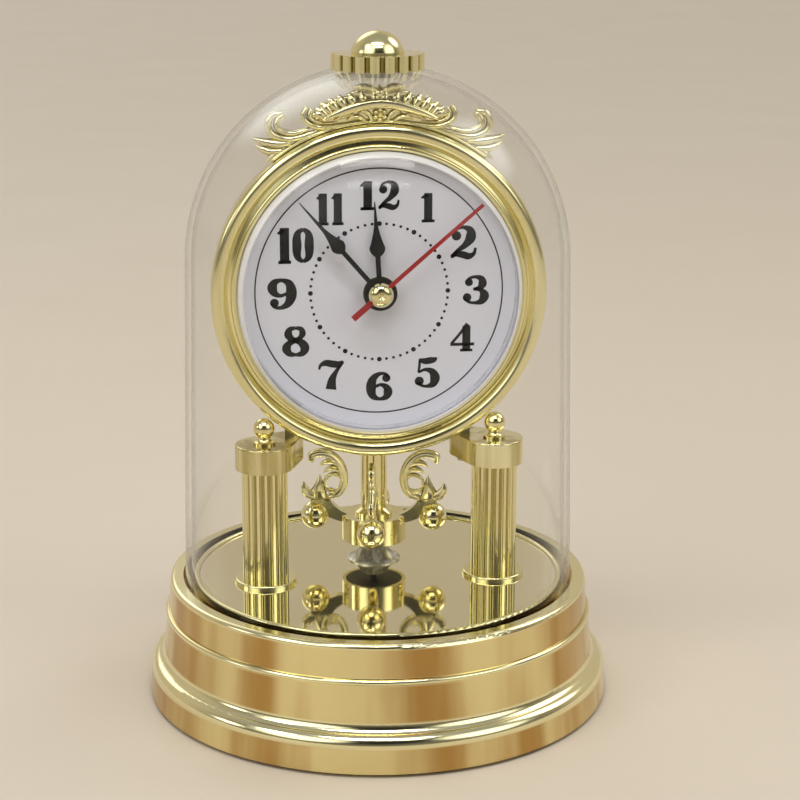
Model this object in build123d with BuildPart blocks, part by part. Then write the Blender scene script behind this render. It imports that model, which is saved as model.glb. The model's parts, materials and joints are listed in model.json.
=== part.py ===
from build123d import *
import math
import os

os.makedirs("parts", exist_ok=True)

# Desk pendulum clock under a clear dome. Millimetres, Z up, the dial faces -Y,
# and the origin is the middle of the footprint on the table.

# Fits between pieces
run_gap = 0.08        # radial clearance of an arbor or pipe that turns
hold_gap = 0.05       # radial clearance of a screw or stud in its hole
drop_gap = 0.15       # radial clearance of a disc dropped into its recess
slot_w = 0.7          # slots of a cross-head screw

# Dome and the groove that it stands in
dome_room = 10.2      # from the bezel's edge out to the dome's foot
dome_wall = 2.0
dome_draft = 2.4
crest_room = 3.6      # from the crest's top up to the dome
groove_gap_outer = 0.6
groove_gap_inner = 1.0
groove_depth = 4.9

# Base, from the groove outwards and from the table upwards
rim_w = 4.3
upper_draft = 0.5
bead_step = 0.7
lower_draft = 1.1
cove_w = 4.3
band_draft = 0.7
foot_h = 1.2
foot_r = 5.0
band_h = 7.2
cove_h = 7.2
lower_h = 11.7
bead_h = 1.8
upper_h = 10.8
rim_round = 1.4
base_wall = 2.5
cover_t = 2.0
cover_lip = 3.4
fixing_inset = 10.6   # from the cover's edge in to its feet and screws
cover_boss_r = 4.0
cover_screw_r = 1.2
cover_screw_len = 11.0
cover_head_r = 2.7
cover_head_h = 1.0

# Mirror plate and its bead ring
plate_sink = 0.4
plate_t = 2.0
ring_w = 1.7
ring_h = 2.9

# Columns, caps and the legs that carry the case
column_inset = 21.45  # from the plate's edge in to a column's middle
column_y = -7.0
column_h = 38.7
column_r = 7.45
flute_count = 18
flute_r = 0.85
flange_r = 10.1
flange_t = 1.4
cap_r = 9.4
cap_h = 8.1
stud_r = 1.5
finial_ball_r = 3.45
finial_rise = 4.9
finial_room = 0.4     # from a ball finial to the bezel
leg_inset = 8.7       # from a column's middle in to a leg
leg_y = 3.0
leg_w = 3.2
leg_d = 6.4
lug_r = 4.6
case_screw_r = 1.0
case_screw_len = 12.0

# Case, bezel, lens and dial
dial_y = -5.0
dial_t = 0.8
drum_wall = 2.0
drum_d = 24.2
bezel_lap = 3.8       # from the drum out to the bezel's edge
bezel_lip = 4.3       # from the drum in to the bezel's opening
bezel_skirt = 4.0
lens_t = 1.4
lens_wall = 3.8
lens_crown = 4.8
back_t = 1.8
boss_inset = 4.6
boss_r = 3.0
back_screw_r = 0.95
back_screw_len = 8.0
back_head_r = 2.2
back_head_h = 1.4

# Crest
crest_t = 3.6
crest_h = 12.3
crest_band = 1.6
bud_h = 4.6
shell_w = 41.0
shell_h = 11.4
hook_band = 3.2

# Hands and the time in the photo: seven minutes to twelve
second_room = 0.8     # from the second hand's tip to the lens
minute_short = 4.0    # minute hand against the second hand
hour_short = 9.7      # hour hand against the minute hand
hour_taper = 14.7
minute_taper = 18.3
second_tail = 11.7
second_w = 1.4
second_tail_w = 2.0
second_hub_r = 2.6
hour_bulge_w = 5.1
hour_stem_w = 1.6
minute_bulge_w = 4.8
minute_stem_w = 1.5
hand_t = 0.4
hand_step = 1.2
hand_hub_r = 5.4
boss_button_r = 4.0
boss_button_h = 3.4
hour_turn = -3.4
minute_turn = -40.8
second_turn = 49.0

# Movement
movement_front_d = 6.8
movement_back_d = 10.0
movement_wall = 1.3
washer_t = 0.8
tube_r = 4.0
second_arbor_r = 0.45
pipe_wall = 0.67
arbor_r = 0.4
wheel_t = 0.8
layer_step = 1.3
third_distance = 8.1
fifth_distance = 8.5
rotor_distance = 7.65
minute_distance = 6.4
setting_distance = 7.2
battery_r = 7.25
battery_len = 49.5
battery_nub = 1.0
spring_room = 2.1
contact_t = 0.8
bay_height = 15.3
bay_wall = 1.2
bridge_t = 1.0
bridge_room = 0.6     # from the wall of the battery bay up to the bridge
bridge_left_room = 5.7
bridge_right_room = 9.7
bridge_top_room = 6.3
pillar_r = 1.2
pillar_inset = 2.0
stator_pin_left = 5.5
stator_pin_right = 14.0

# Drive that turns the pendulum, in the foot of the case
drive_h = 12.0
drive_w = 26.0
drive_d = 12.0
drive_wall = 1.4
drive_floor_t = 2.0
drive_lid_t = 1.2
drive_over = 1.2      # from the drive's lid up to the movement
drive_rise = 8.6      # from the drum's lowest point up to the drive
drive_ear = 5.5
ear_r = 3.2

# Pendulum, relative to the top of the mirror plate
pendulum_y = 12.0
pendulum_turn = -8.5
hub_r = 10.7
hub_h = 8.5
hub_lift = 7.3
arm_len = 19.8
arm_t = 3.2
arm_root = 2.8
ball_r = 4.75
ball_lift = 15.0
pad_lift = 20.4
scroll_t = 3.0
scroll_band = 1.9
shaft_r = 4.4
spindle_r = 1.2
pin_r = 1.0
bell_r = 8.9
bell_h = 4.8
bell_edge = 0.4
bell_neck_r = 4.2

# Dome finial
lobe_count = 18
disc_r = 14.7
disc_h = 5.1
knob_r = 8.4
knob_h = 7.1
dome_screw_r = 2.0

# Levels and radii that follow
band_top = foot_h + band_h
cove_top = band_top + cove_h
bead_low = cove_top + lower_h
bead_top = bead_low + bead_h
rim_top = bead_top + upper_h
groove_floor = rim_top - groove_depth
plate_top = rim_top - plate_sink
deck_top = plate_top - plate_t
deck_under = deck_top - base_wall
groove_under = groove_floor - base_wall
movement_side = battery_len + battery_nub + spring_room + contact_t + 2 * movement_wall
drum_r = movement_side / 2 + drive_over + drive_h + drive_rise
boss_circle = drum_r - boss_inset
bezel_r = drum_r + bezel_lap
bezel_open_r = drum_r - bezel_lip
lens_r = bezel_open_r - 0.3
inside_r = lens_r - lens_t
second_len = inside_r - second_room
minute_len = second_len - minute_short
hour_len = minute_len - hour_short
dome_r = bezel_r + dome_room
groove_out = dome_r + groove_gap_outer
groove_in = dome_r - dome_wall - groove_gap_inner
rim_r = groove_out + rim_w
upper_r = rim_r + upper_draft
bead_r = upper_r + bead_step
lower_r = bead_r + lower_draft
cove_r = lower_r + cove_w
base_r = cove_r + band_draft
cover_r = base_r - cover_lip
fixing_circle = cover_r - fixing_inset
ring_in = groove_in - ring_w
plate_r = ring_in - drop_gap
column_x = plate_r - column_inset
leg_x = column_x - leg_inset
cap_bottom = plate_top + column_h
cap_top = cap_bottom + cap_h
finial_reach = bezel_r + finial_ball_r + finial_room
dial_z = cap_top + finial_rise + math.sqrt(finial_reach ** 2 - column_x ** 2)
dome_top_r = dome_r - dome_draft
dome_top = dial_z + bezel_r + crest_h + crest_room + dome_wall
dome_spring = dome_top - dome_top_r
dial_back = dial_y + dial_t
lens_seat = dial_y - lens_t
drum_back = dial_back + drum_d
movement_y = dial_back + washer_t
split_y = movement_y + movement_front_d
movement_back = split_y + movement_back_d
dial_axis = Axis((0, 0, dial_z), (0, 1, 0))
pendulum_axis = Axis((0, pendulum_y, 0), (0, 0, 1))


def keep(piece, name):
    """Labels a finished piece and writes its file."""
    piece.label = name
    export_step(piece, f"parts/{name}.step")


def bow(start, end, rise):
    """Arc that stands off the straight line from start to end by rise, to its left."""
    run, climb = end[0] - start[0], end[1] - start[1]
    length = math.hypot(run, climb)
    middle_x = (start[0] + end[0]) / 2 - climb / length * rise
    middle_y = (start[1] + end[1]) / 2 + run / length * rise
    return ThreePointArc(start, (middle_x, middle_y), end)


def crown(apex, rim, across):
    """Arc from an apex on a turning axis out to a rim, square to the axis at the apex."""
    return TangentArc(apex, rim, tangent=across)


def polar(distance, degrees, start=(0, 0)):
    """Point at a distance and an angle from a start point."""
    turn = math.radians(degrees)
    return (start[0] + distance * math.cos(turn), start[1] + distance * math.sin(turn))


def front(y):
    """Plane at depth y that faces the viewer, with its origin on the dial's axis."""
    return Plane(origin=(0, y, dial_z), x_dir=(1, 0, 0), z_dir=(0, -1, 0))


def hand_plane(y, turn):
    """The same plane turned clockwise as the viewer sees it, so local y runs along a hand."""
    angle = math.radians(turn)
    along = (math.cos(angle), 0, -math.sin(angle))
    return Plane(origin=(0, y, dial_z), x_dir=along, z_dir=(0, -1, 0))


def arm_plane(index):
    """Upright plane along one pendulum arm: local x is the radius, local y the height."""
    turn = math.radians(pendulum_turn + 90 * index)
    along = (math.cos(turn), math.sin(turn), 0)
    across = (math.sin(turn), -math.cos(turn), 0)
    return Plane(origin=(0, pendulum_y, plate_top), x_dir=along, z_dir=across)


# Base

column_spots = [(-column_x, column_y), (column_x, column_y)]
bell_spot = (0, pendulum_y)

with BuildPart() as base_shell:
    with BuildSketch(Plane.XZ):
        with BuildLine():
            Polyline((cover_r, foot_h), (base_r, foot_h), (cove_r, band_top))
            roll_end = (cove_r - cove_w * 0.55, band_top + cove_h * 0.62)
            bow((cove_r, band_top), roll_end, -1.1)
            bow(roll_end, (lower_r, cove_top), 0.5)
            Line((lower_r, cove_top), (bead_r, bead_low))
            bow((bead_r, bead_low), (upper_r, bead_top), -0.9)
            Line((upper_r, bead_top), (rim_r, rim_top - rim_round))
            bow((rim_r, rim_top - rim_round), (rim_r - rim_round, rim_top), -rim_round * 0.29)
            Polyline(
                (rim_r - rim_round, rim_top),
                (groove_out, rim_top),
                (groove_out, groove_floor),
                (groove_in, groove_floor),
                (groove_in, deck_top),
                (0, deck_top),
                (0, deck_under),
                (groove_in - base_wall, deck_under),
                (groove_in - base_wall, groove_under),
                (rim_r - base_wall, groove_under),
                (rim_r - base_wall, cove_top + base_wall),
                (cover_r - base_wall, band_top),
                (cover_r - base_wall, foot_h + cover_t),
                (cover_r, foot_h + cover_t),
                (cover_r, foot_h),
            )
        make_face()
    revolve(axis=Axis.Z)
    with BuildSketch(Plane.XY.offset(foot_h + cover_t)):
        with PolarLocations(fixing_circle, 4, 45):
            Circle(cover_boss_r)
    extrude(amount=groove_under + 0.5 - foot_h - cover_t)
    with BuildSketch(Plane.XY.offset(foot_h + cover_t)):
        with PolarLocations(fixing_circle, 4, 45):
            Circle(cover_screw_r + hold_gap)
    extrude(amount=cover_screw_len, mode=Mode.SUBTRACT)
    with BuildSketch(Plane.XY.offset(deck_under)):
        with Locations(*column_spots):
            Circle(stud_r + hold_gap)
        with Locations(bell_spot):
            Circle(2.0 + hold_gap)
    extrude(amount=base_wall, mode=Mode.SUBTRACT)
keep(base_shell.part, "base_shell")

with BuildPart() as bottom_cover:
    with BuildSketch(Plane.XY.offset(foot_h)):
        Circle(cover_r - drop_gap)
    extrude(amount=cover_t)
    with BuildSketch(Plane.XY.offset(foot_h)):
        with PolarLocations(fixing_circle, 4, 45):
            Circle(cover_screw_r + hold_gap)
    extrude(amount=cover_t, mode=Mode.SUBTRACT)
    with BuildSketch(Plane.XY.offset(foot_h)):
        with PolarLocations(fixing_circle, 4, 45):
            Circle(cover_head_r + 0.3)
    extrude(amount=cover_head_h, mode=Mode.SUBTRACT)
keep(bottom_cover.part, "bottom_cover")

with BuildPart() as cover_screws:
    with BuildSketch(Plane.XY.offset(foot_h)):
        with PolarLocations(fixing_circle, 4, 45):
            Circle(cover_head_r)
    extrude(amount=cover_head_h)
    with BuildSketch(Plane.XY.offset(foot_h + cover_head_h)):
        with PolarLocations(fixing_circle, 4, 45):
            Circle(cover_screw_r)
    extrude(amount=cover_screw_len)
    with BuildSketch(Plane.XY.offset(foot_h)):
        with PolarLocations(fixing_circle, 4, 45):
            Rectangle(1.2 * cover_head_r, slot_w)
            Rectangle(slot_w, 1.2 * cover_head_r)
    extrude(amount=0.6 * cover_head_h, mode=Mode.SUBTRACT)
keep(cover_screws.part, "cover_screws")

with BuildPart() as rubber_feet:
    with BuildSketch(Plane.XY):
        with PolarLocations(fixing_circle, 4):
            Circle(foot_r)
    extrude(amount=foot_h)
    chamfer(rubber_feet.edges().group_by(Axis.Z)[0], 0.3)
keep(rubber_feet.part, "rubber_feet")

with BuildPart() as mirror_plate:
    with BuildSketch(Plane.XY.offset(deck_top)):
        Circle(plate_r)
        with Locations(*column_spots):
            Circle(stud_r + hold_gap, mode=Mode.SUBTRACT)
        with Locations(bell_spot):
            Circle(2.0 + hold_gap, mode=Mode.SUBTRACT)
    extrude(amount=plate_t)
keep(mirror_plate.part, "mirror_plate")

with BuildPart() as plate_ring:
    with BuildSketch(Plane.XY.offset(deck_top)):
        Circle(groove_in)
        Circle(ring_in, mode=Mode.SUBTRACT)
    extrude(amount=ring_h)
    fillet(plate_ring.edges().group_by(Axis.Z)[-1], ring_w * 0.45)
keep(plate_ring.part, "plate_ring")

# Columns with their caps, ball finials and screws

for side, word in ((-1, "left"), (1, "right")):
    column_spot = (side * column_x, column_y)
    leg_spot = (side * leg_x, leg_y)

    with BuildPart() as column:
        with BuildSketch(Plane.XY.offset(plate_top)):
            with Locations(column_spot):
                Circle(flange_r)
        extrude(amount=flange_t)
        fillet(column.edges().group_by(Axis.Z)[-1], flange_t * 0.45)
        with BuildSketch(Plane.XY.offset(plate_top)):
            with Locations(column_spot):
                Circle(column_r)
                with PolarLocations(column_r + 0.1, flute_count):
                    Circle(flute_r, mode=Mode.SUBTRACT)
        extrude(amount=column_h)
        with BuildSketch(Plane.XY.offset(plate_top)):
            with Locations(column_spot):
                Circle(stud_r + hold_gap)
        extrude(amount=column_h, mode=Mode.SUBTRACT)
    keep(column.part, f"column_{word}")

    with BuildPart() as column_cap:
        with BuildSketch(Plane.XY.offset(cap_bottom)):
            with Locations(column_spot):
                Circle(cap_r)
            with Locations(leg_spot):
                Circle(lug_r)
            make_hull()
        extrude(amount=cap_h)
        fillet(column_cap.edges().group_by(Axis.Z)[-1], 0.5)
        with BuildSketch(Plane.XY.offset(cap_bottom)):
            with Locations(column_spot):
                Circle(stud_r + hold_gap)
            with Locations(leg_spot):
                Circle(case_screw_r + hold_gap)
        extrude(amount=cap_h, mode=Mode.SUBTRACT)
    keep(column_cap.part, f"column_cap_{word}")

ball_z = cap_top + finial_rise
neck = polar(finial_ball_r, -55)

with BuildPart() as cap_finials:
    for x, y in column_spots:
        with BuildSketch(Plane(origin=(x, y, ball_z), x_dir=(1, 0, 0), z_dir=(0, -1, 0))):
            with BuildLine():
                Polyline(
                    (0, finial_ball_r),
                    (0, -finial_rise - 20),
                    (stud_r, -finial_rise - 20),
                    (stud_r, -finial_rise),
                    (3.7, -finial_rise),
                    (3.7, -finial_rise + 0.7),
                )
                bow((3.7, -finial_rise + 0.7), neck, 0.5)
                ThreePointArc(neck, (finial_ball_r, 0), (0, finial_ball_r))
            make_face()
        revolve(axis=Axis((x, y, 0), (0, 0, 1)))
keep(cap_finials.part, "cap_finials")

with BuildPart() as column_screws:
    with BuildSketch(Plane.XY.offset(deck_under - 2.0)):
        with Locations(*column_spots):
            Circle(3.2)
    extrude(amount=2.0)
    with BuildSketch(Plane.XY.offset(deck_under)):
        with Locations(*column_spots):
            Circle(stud_r)
    extrude(amount=base_wall + plate_t + 16)
    with BuildSketch(Plane.XY.offset(deck_under - 2.0)):
        with Locations(*column_spots):
            Rectangle(3.6, slot_w)
            Rectangle(slot_w, 3.6)
    extrude(amount=1.0, mode=Mode.SUBTRACT)
keep(column_screws.part, "column_screws")

leg_spots = [(-leg_x, leg_y), (leg_x, leg_y)]

# Bell that guides the foot of the pendulum

with BuildPart() as guide_bell:
    with BuildSketch(arm_plane(0)):
        with BuildLine():
            Polyline(
                (0, 1.0),
                (0, -plate_t - base_wall),
                (2.0, -plate_t - base_wall),
                (2.0, 0),
                (bell_r, 0),
                (bell_r, bell_edge),
            )
            bow((bell_r, bell_edge), (bell_neck_r, bell_h), 0.6)
            Polyline((bell_neck_r, bell_h), (1.7, bell_h), (1.7, 1.0), (0, 1.0))
        make_face()
    revolve(axis=pendulum_axis)
keep(guide_bell.part, "guide_bell")

# Case: drum with legs, back cover, bezel, lens, dial and crest

drive_x = drive_w / 2 + drive_ear
drive_spots = [(-drive_x, pendulum_y + 1), (drive_x, pendulum_y + 1)]
drum_bottom = dial_z - drum_r
drive_floor = drum_bottom + drive_rise
leg_top = dial_z - math.sqrt((drum_r - 0.8) ** 2 - leg_x ** 2)

with BuildPart() as case_drum:
    with BuildSketch(front(drum_back)):
        Circle(drum_r)
        Circle(drum_r - drum_wall, mode=Mode.SUBTRACT)
    extrude(amount=drum_d)
    with BuildSketch(front(drum_back)):
        with PolarLocations(boss_circle, 4, 45):
            Circle(boss_r)
    extrude(amount=back_screw_len + 6)
    with BuildSketch(front(drum_back)):
        with PolarLocations(boss_circle, 4, 45):
            Circle(back_screw_r + hold_gap)
    extrude(amount=back_screw_len + 2, mode=Mode.SUBTRACT)
    with BuildSketch(Plane.XY.offset(cap_top)):
        with Locations(*leg_spots):
            Rectangle(leg_w, leg_d)
    extrude(amount=leg_top - cap_top)
    with BuildSketch(Plane.XY.offset(cap_top)):
        with Locations(*leg_spots):
            Circle(case_screw_r + hold_gap)
    extrude(amount=case_screw_len - cap_h + 0.5, mode=Mode.SUBTRACT)
    with BuildSketch(Plane.XY.offset(drum_bottom - 1.0)):
        with Locations(*drive_spots):
            Circle(ear_r)
    extrude(amount=drive_floor - drum_bottom + 1.0)
    with BuildSketch(Plane.XY.offset(drum_bottom - 1.0)):
        with Locations(*drive_spots):
            Circle(case_screw_r + hold_gap)
        with Locations(bell_spot):
            Circle(shaft_r + 1.6)
    extrude(amount=drive_floor - drum_bottom + 1.0, mode=Mode.SUBTRACT)
keep(case_drum.part, "case_drum")

with BuildPart() as back_cover:
    with BuildSketch(front(drum_back + back_t)):
        Circle(drum_r)
        RectangleRounded(movement_side - 2, movement_side - 2, 4, mode=Mode.SUBTRACT)
        with PolarLocations(boss_circle, 4, 45):
            Circle(back_screw_r + hold_gap, mode=Mode.SUBTRACT)
    extrude(amount=back_t)
keep(back_cover.part, "back_cover")

with BuildPart() as back_screws:
    with BuildSketch(front(drum_back + back_t + back_head_h)):
        with PolarLocations(boss_circle, 4, 45):
            Circle(back_head_r)
    extrude(amount=back_head_h)
    with BuildSketch(front(drum_back + back_t)):
        with PolarLocations(boss_circle, 4, 45):
            Circle(back_screw_r)
    extrude(amount=back_t + back_screw_len)
    with BuildSketch(front(drum_back + back_t + back_head_h)):
        with PolarLocations(boss_circle, 4, 45):
            Rectangle(1.2 * back_head_r, slot_w)
            Rectangle(slot_w, 1.2 * back_head_r)
    extrude(amount=0.6 * back_head_h, mode=Mode.SUBTRACT)
keep(back_screws.part, "back_screws")

skirt_r = drum_r + hold_gap
bead_y = lens_seat - 1.2
valley_y = lens_seat - 0.6

with BuildPart() as bezel:
    with BuildSketch(Plane.YZ):
        with BuildLine():
            Line((lens_seat, dial_z + bezel_open_r), (bead_y, dial_z + bezel_open_r))
            bow((bead_y, dial_z + bezel_open_r), (bead_y, dial_z + bezel_open_r + 1.9), 0.9)
            Line((bead_y, dial_z + bezel_open_r + 1.9), (valley_y, dial_z + bezel_open_r + 3.4))
            bow((valley_y, dial_z + bezel_open_r + 3.4), (valley_y, dial_z + bezel_r), 2.4)
            Polyline(
                (valley_y, dial_z + bezel_r),
                (dial_y + bezel_skirt, dial_z + bezel_r),
                (dial_y + bezel_skirt, dial_z + skirt_r),
                (lens_seat, dial_z + skirt_r),
                (lens_seat, dial_z + bezel_open_r),
            )
        make_face()
    revolve(axis=dial_axis)
keep(bezel.part, "bezel")

shoulder_y = lens_seat - lens_wall
crown_y = shoulder_y - lens_crown

with BuildPart() as lens:
    with BuildSketch(Plane.YZ):
        with BuildLine():
            Polyline(
                (dial_y, dial_z + inside_r),
                (dial_y, dial_z + drum_r - 0.2),
                (lens_seat, dial_z + drum_r - 0.2),
                (lens_seat, dial_z + lens_r),
                (shoulder_y, dial_z + lens_r),
            )
            bow((shoulder_y, dial_z + lens_r), (shoulder_y - 2, dial_z + lens_r - 2.7), -0.8)
            crown((crown_y, dial_z), (shoulder_y - 2, dial_z + lens_r - 2.7), (0, 1))
            Line((crown_y, dial_z), (crown_y + lens_t, dial_z))
            crown((crown_y + lens_t, dial_z), (shoulder_y - 0.6, dial_z + inside_r - 2), (0, 1))
            bow(
                (shoulder_y - 0.6, dial_z + inside_r - 2),
                (shoulder_y + 0.6, dial_z + inside_r),
                0.4,
            )
            Line((shoulder_y + 0.6, dial_z + inside_r), (dial_y, dial_z + inside_r))
        make_face()
    revolve(axis=dial_axis)
keep(lens.part, "lens")

with BuildPart() as dial:
    with BuildSketch(front(dial_back)):
        Circle(drum_r - 0.2)
        Circle(tube_r + hold_gap, mode=Mode.SUBTRACT)
    extrude(amount=dial_t)
keep(dial.part, "dial")



def over_bezel(rise, degrees):
    """Point of the crest at a height over the bezel's edge, by its angle round the dial."""
    return polar(bezel_r + rise, degrees)


hook_tip = over_bezel(10.6, 117.4)
hook_side = over_bezel(9.0, 122.2)
hook_foot = over_bezel(4.8, 120.7)
hook_tail = over_bezel(2.3, 110.5)
cradle_tip = over_bezel(9.2, 111.1)
cradle_side = over_bezel(7.1, 112.7)
cradle_foot = over_bezel(3.8, 111.5)
cradle_tail = over_bezel(1.6, 103.6)
spike_tip = over_bezel(9.9, 128.6)
spike_top = over_bezel(4.4, 122.0)
spike_fork = over_bezel(5.5, 127.3)
thorn_tip = over_bezel(6.4, 129.3)
spike_root = over_bezel(1.1, 129.2)
spike_heel = over_bezel(-0.6, 121.9)
leaf_at = over_bezel(9.9, 94.2)

with BuildPart() as crest:
    with BuildSketch(front(valley_y + crest_t)):
        with BuildLine():
            CenterArc((0, 0), bezel_r + crest_band / 2, 51, 78)
        trace(line_width=crest_band)
        with BuildLine():
            bow(hook_tip, hook_side, -1.7)
            bow(hook_side, hook_foot, -1.1)
            bow(hook_foot, hook_tail, -0.5)
        trace(line_width=hook_band)
        with BuildLine():
            bow(cradle_tip, cradle_side, -0.3)
            bow(cradle_side, cradle_foot, -0.9)
            bow(cradle_foot, cradle_tail, -0.5)
        trace(line_width=hook_band * 0.6)
        with BuildLine():
            bow(spike_top, spike_tip, -0.9)
            bow(spike_tip, spike_fork, -0.6)
            Line(spike_fork, thorn_tip)
            bow(thorn_tip, spike_root, -0.6)
            Polyline(spike_root, spike_heel, spike_top)
        make_face()
        with Locations(leaf_at):
            Ellipse(4.8, 2.3, rotation=-18)
        mirror(about=Plane.YZ)
        with Locations((0, bezel_r + 3.6)):
            Ellipse(shell_w / 2, shell_h / 2)
        with Locations((0, bezel_r + crest_h - bud_h / 2)):
            Ellipse(2.6, bud_h / 2)
        Circle(bezel_r, mode=Mode.SUBTRACT)
    extrude(amount=crest_t)
keep(crest.part, "crest")

# Movement housing and what is fixed in it

half_inside = movement_side / 2 - movement_wall
bay_z = -half_inside + bay_height / 2
bay_wall_z = -half_inside + bay_height + bay_wall / 2
plate_inside = movement_y + movement_wall + 0.1
first_layer = plate_inside + 0.4
layer_y = [first_layer + layer_step * index for index in range(6)]
bridge_y = layer_y[5] + wheel_t + 0.7
third_at = polar(third_distance, 60)
fifth_at = polar(fifth_distance, 150)
rotor_at = polar(rotor_distance, 110, fifth_at)
minute_at = polar(minute_distance, -20)
setting_at = polar(setting_distance, -20, minute_at)
bridge_top = half_inside - bridge_top_room
bridge_foot = bay_wall_z + bay_wall / 2 + bridge_room
bridge_left = bridge_left_room - half_inside
bridge_right = half_inside - bridge_right_room
pillar_spots = [
    (bridge_left + pillar_inset, bridge_foot + pillar_inset),
    (bridge_left + pillar_inset, bridge_top - pillar_inset),
    (bridge_right - pillar_inset, bridge_top - pillar_inset),
]
board_at = (half_inside - 8.2, half_inside - 10.7)
board_spots = [(half_inside - 2.7, half_inside - 16.7), (half_inside - 2.7, half_inside - 4.7)]
minute_pipe_r = second_arbor_r + run_gap + pipe_wall
hour_pipe_r = minute_pipe_r + run_gap + pipe_wall
board_y = bridge_y + 3.2
tube_front = dial_y - 1.6

with BuildPart() as movement_front:
    with BuildSketch(front(split_y)):
        RectangleRounded(movement_side, movement_side, 3)
    extrude(amount=movement_front_d)
    with BuildSketch(front(split_y)):
        RectangleRounded(2 * half_inside, 2 * half_inside, 1.7)
        with Locations((0, bay_wall_z)):
            Rectangle(2 * half_inside, bay_wall, mode=Mode.SUBTRACT)
    extrude(amount=split_y - plate_inside, mode=Mode.SUBTRACT)
    with BuildSketch(front(movement_y)):
        Circle(tube_r)
    extrude(amount=movement_y - tube_front)
    with BuildSketch(front(plate_inside)):
        Circle(hour_pipe_r + run_gap)
    extrude(amount=plate_inside - tube_front, mode=Mode.SUBTRACT)
    with BuildSketch(front(plate_inside)):
        with Locations(third_at, fifth_at, rotor_at, setting_at):
            Circle(arbor_r + hold_gap)
    extrude(amount=0.8, mode=Mode.SUBTRACT)
    with BuildSketch(front(layer_y[1] + wheel_t + 0.2)):
        with Locations(minute_at):
            Circle(0.5)
    extrude(amount=layer_y[1] + wheel_t + 0.4 - plate_inside)
    with BuildSketch(front(bridge_y)):
        with Locations(*pillar_spots):
            Circle(pillar_r)
    extrude(amount=bridge_y - plate_inside + 0.2)
    with BuildSketch(front(board_y)):
        with Locations(*board_spots):
            Circle(1.2)
    extrude(amount=board_y - plate_inside + 0.2)
keep(movement_front.part, "movement_front")

with BuildPart() as movement_rear:
    with BuildSketch(front(movement_back)):
        RectangleRounded(movement_side, movement_side, 3)
    extrude(amount=movement_back_d)
    with BuildSketch(front(movement_back - movement_wall)):
        RectangleRounded(2 * half_inside, 2 * half_inside, 1.7)
        with Locations((0, bay_wall_z)):
            Rectangle(2 * half_inside, bay_wall, mode=Mode.SUBTRACT)
    extrude(amount=movement_back_d - movement_wall, mode=Mode.SUBTRACT)
    with BuildSketch(front(movement_back)):
        with Locations((0, bay_z)):
            Rectangle(2 * half_inside - 0.4, bay_height - 0.4)
        with Locations(setting_at):
            Circle(1.0 + run_gap)
    extrude(amount=movement_wall, mode=Mode.SUBTRACT)
keep(movement_rear.part, "movement_rear")

with BuildPart() as dial_washer:
    with BuildSketch(front(movement_y)):
        Circle(10)
        Circle(tube_r + hold_gap, mode=Mode.SUBTRACT)
    extrude(amount=washer_t)
keep(dial_washer.part, "dial_washer")

with BuildPart() as dial_nut:
    with BuildSketch(front(dial_y)):
        RegularPolygon(hand_hub_r, 6)
        Circle(tube_r + hold_gap, mode=Mode.SUBTRACT)
    extrude(amount=1.3)
keep(dial_nut.part, "dial_nut")

with BuildPart() as train_bridge:
    with BuildSketch(front(bridge_y + bridge_t)):
        with Locations((bridge_left, bridge_foot)):
            Rectangle(bridge_right - bridge_left, bridge_top - bridge_foot, align=(Align.MIN, Align.MIN))
        with Locations(third_at, fifth_at, rotor_at):
            Circle(arbor_r + hold_gap, mode=Mode.SUBTRACT)
        with Locations((0, 0)):
            Circle(second_arbor_r + hold_gap, mode=Mode.SUBTRACT)
        with Locations(setting_at):
            Circle(1.0 + run_gap, mode=Mode.SUBTRACT)
    extrude(amount=bridge_t)
    stator_pins = [(rotor_at[0] - stator_pin_left, rotor_at[1]), (rotor_at[0] + stator_pin_right, rotor_at[1])]
    with BuildSketch(front(bridge_y + 2 * bridge_t)):
        with Locations(*stator_pins):
            Circle(pillar_r)
    extrude(amount=bridge_t)
keep(train_bridge.part, "train_bridge")

stator_y = bridge_y + 2.8
coil_z = half_inside - 2.9
coil_mid = rotor_at[0] + 5.0
stator_mid = (coil_z + rotor_at[1]) / 2

with BuildPart() as stator:
    with BuildSketch(front(stator_y)):
        with Locations((coil_mid, rotor_at[1])):
            Rectangle(26, 7)
        with Locations((coil_mid - 11.5, stator_mid), (coil_mid + 11.5, stator_mid)):
            Rectangle(3, coil_z - rotor_at[1] + 2)
        with Locations(rotor_at):
            Circle(3.1, mode=Mode.SUBTRACT)
    extrude(amount=0.8)
    with BuildSketch(Plane.YZ.offset(coil_mid - 10)):
        with Locations((stator_y - 0.4, dial_z + coil_z)):
            Rectangle(0.8, 1.6)
    extrude(amount=20)
keep(stator.part, "stator")

with BuildPart() as motor_coil:
    with BuildSketch(Plane.YZ.offset(coil_mid - 9)):
        with Locations((stator_y - 0.4, dial_z + coil_z)):
            Circle(2.4)
            Rectangle(0.8, 1.6, mode=Mode.SUBTRACT)
    extrude(amount=18)
    with BuildSketch(Plane.YZ.offset(coil_mid - 10)):
        with Locations((stator_y - 0.4, dial_z + coil_z)):
            Rectangle(5.4, 5.4)
            Rectangle(0.8, 1.6, mode=Mode.SUBTRACT)
    extrude(amount=1)
    with BuildSketch(Plane.YZ.offset(coil_mid + 9)):
        with Locations((stator_y - 0.4, dial_z + coil_z)):
            Rectangle(5.4, 5.4)
            Rectangle(0.8, 1.6, mode=Mode.SUBTRACT)
    extrude(amount=1)
keep(motor_coil.part, "motor_coil")

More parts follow.
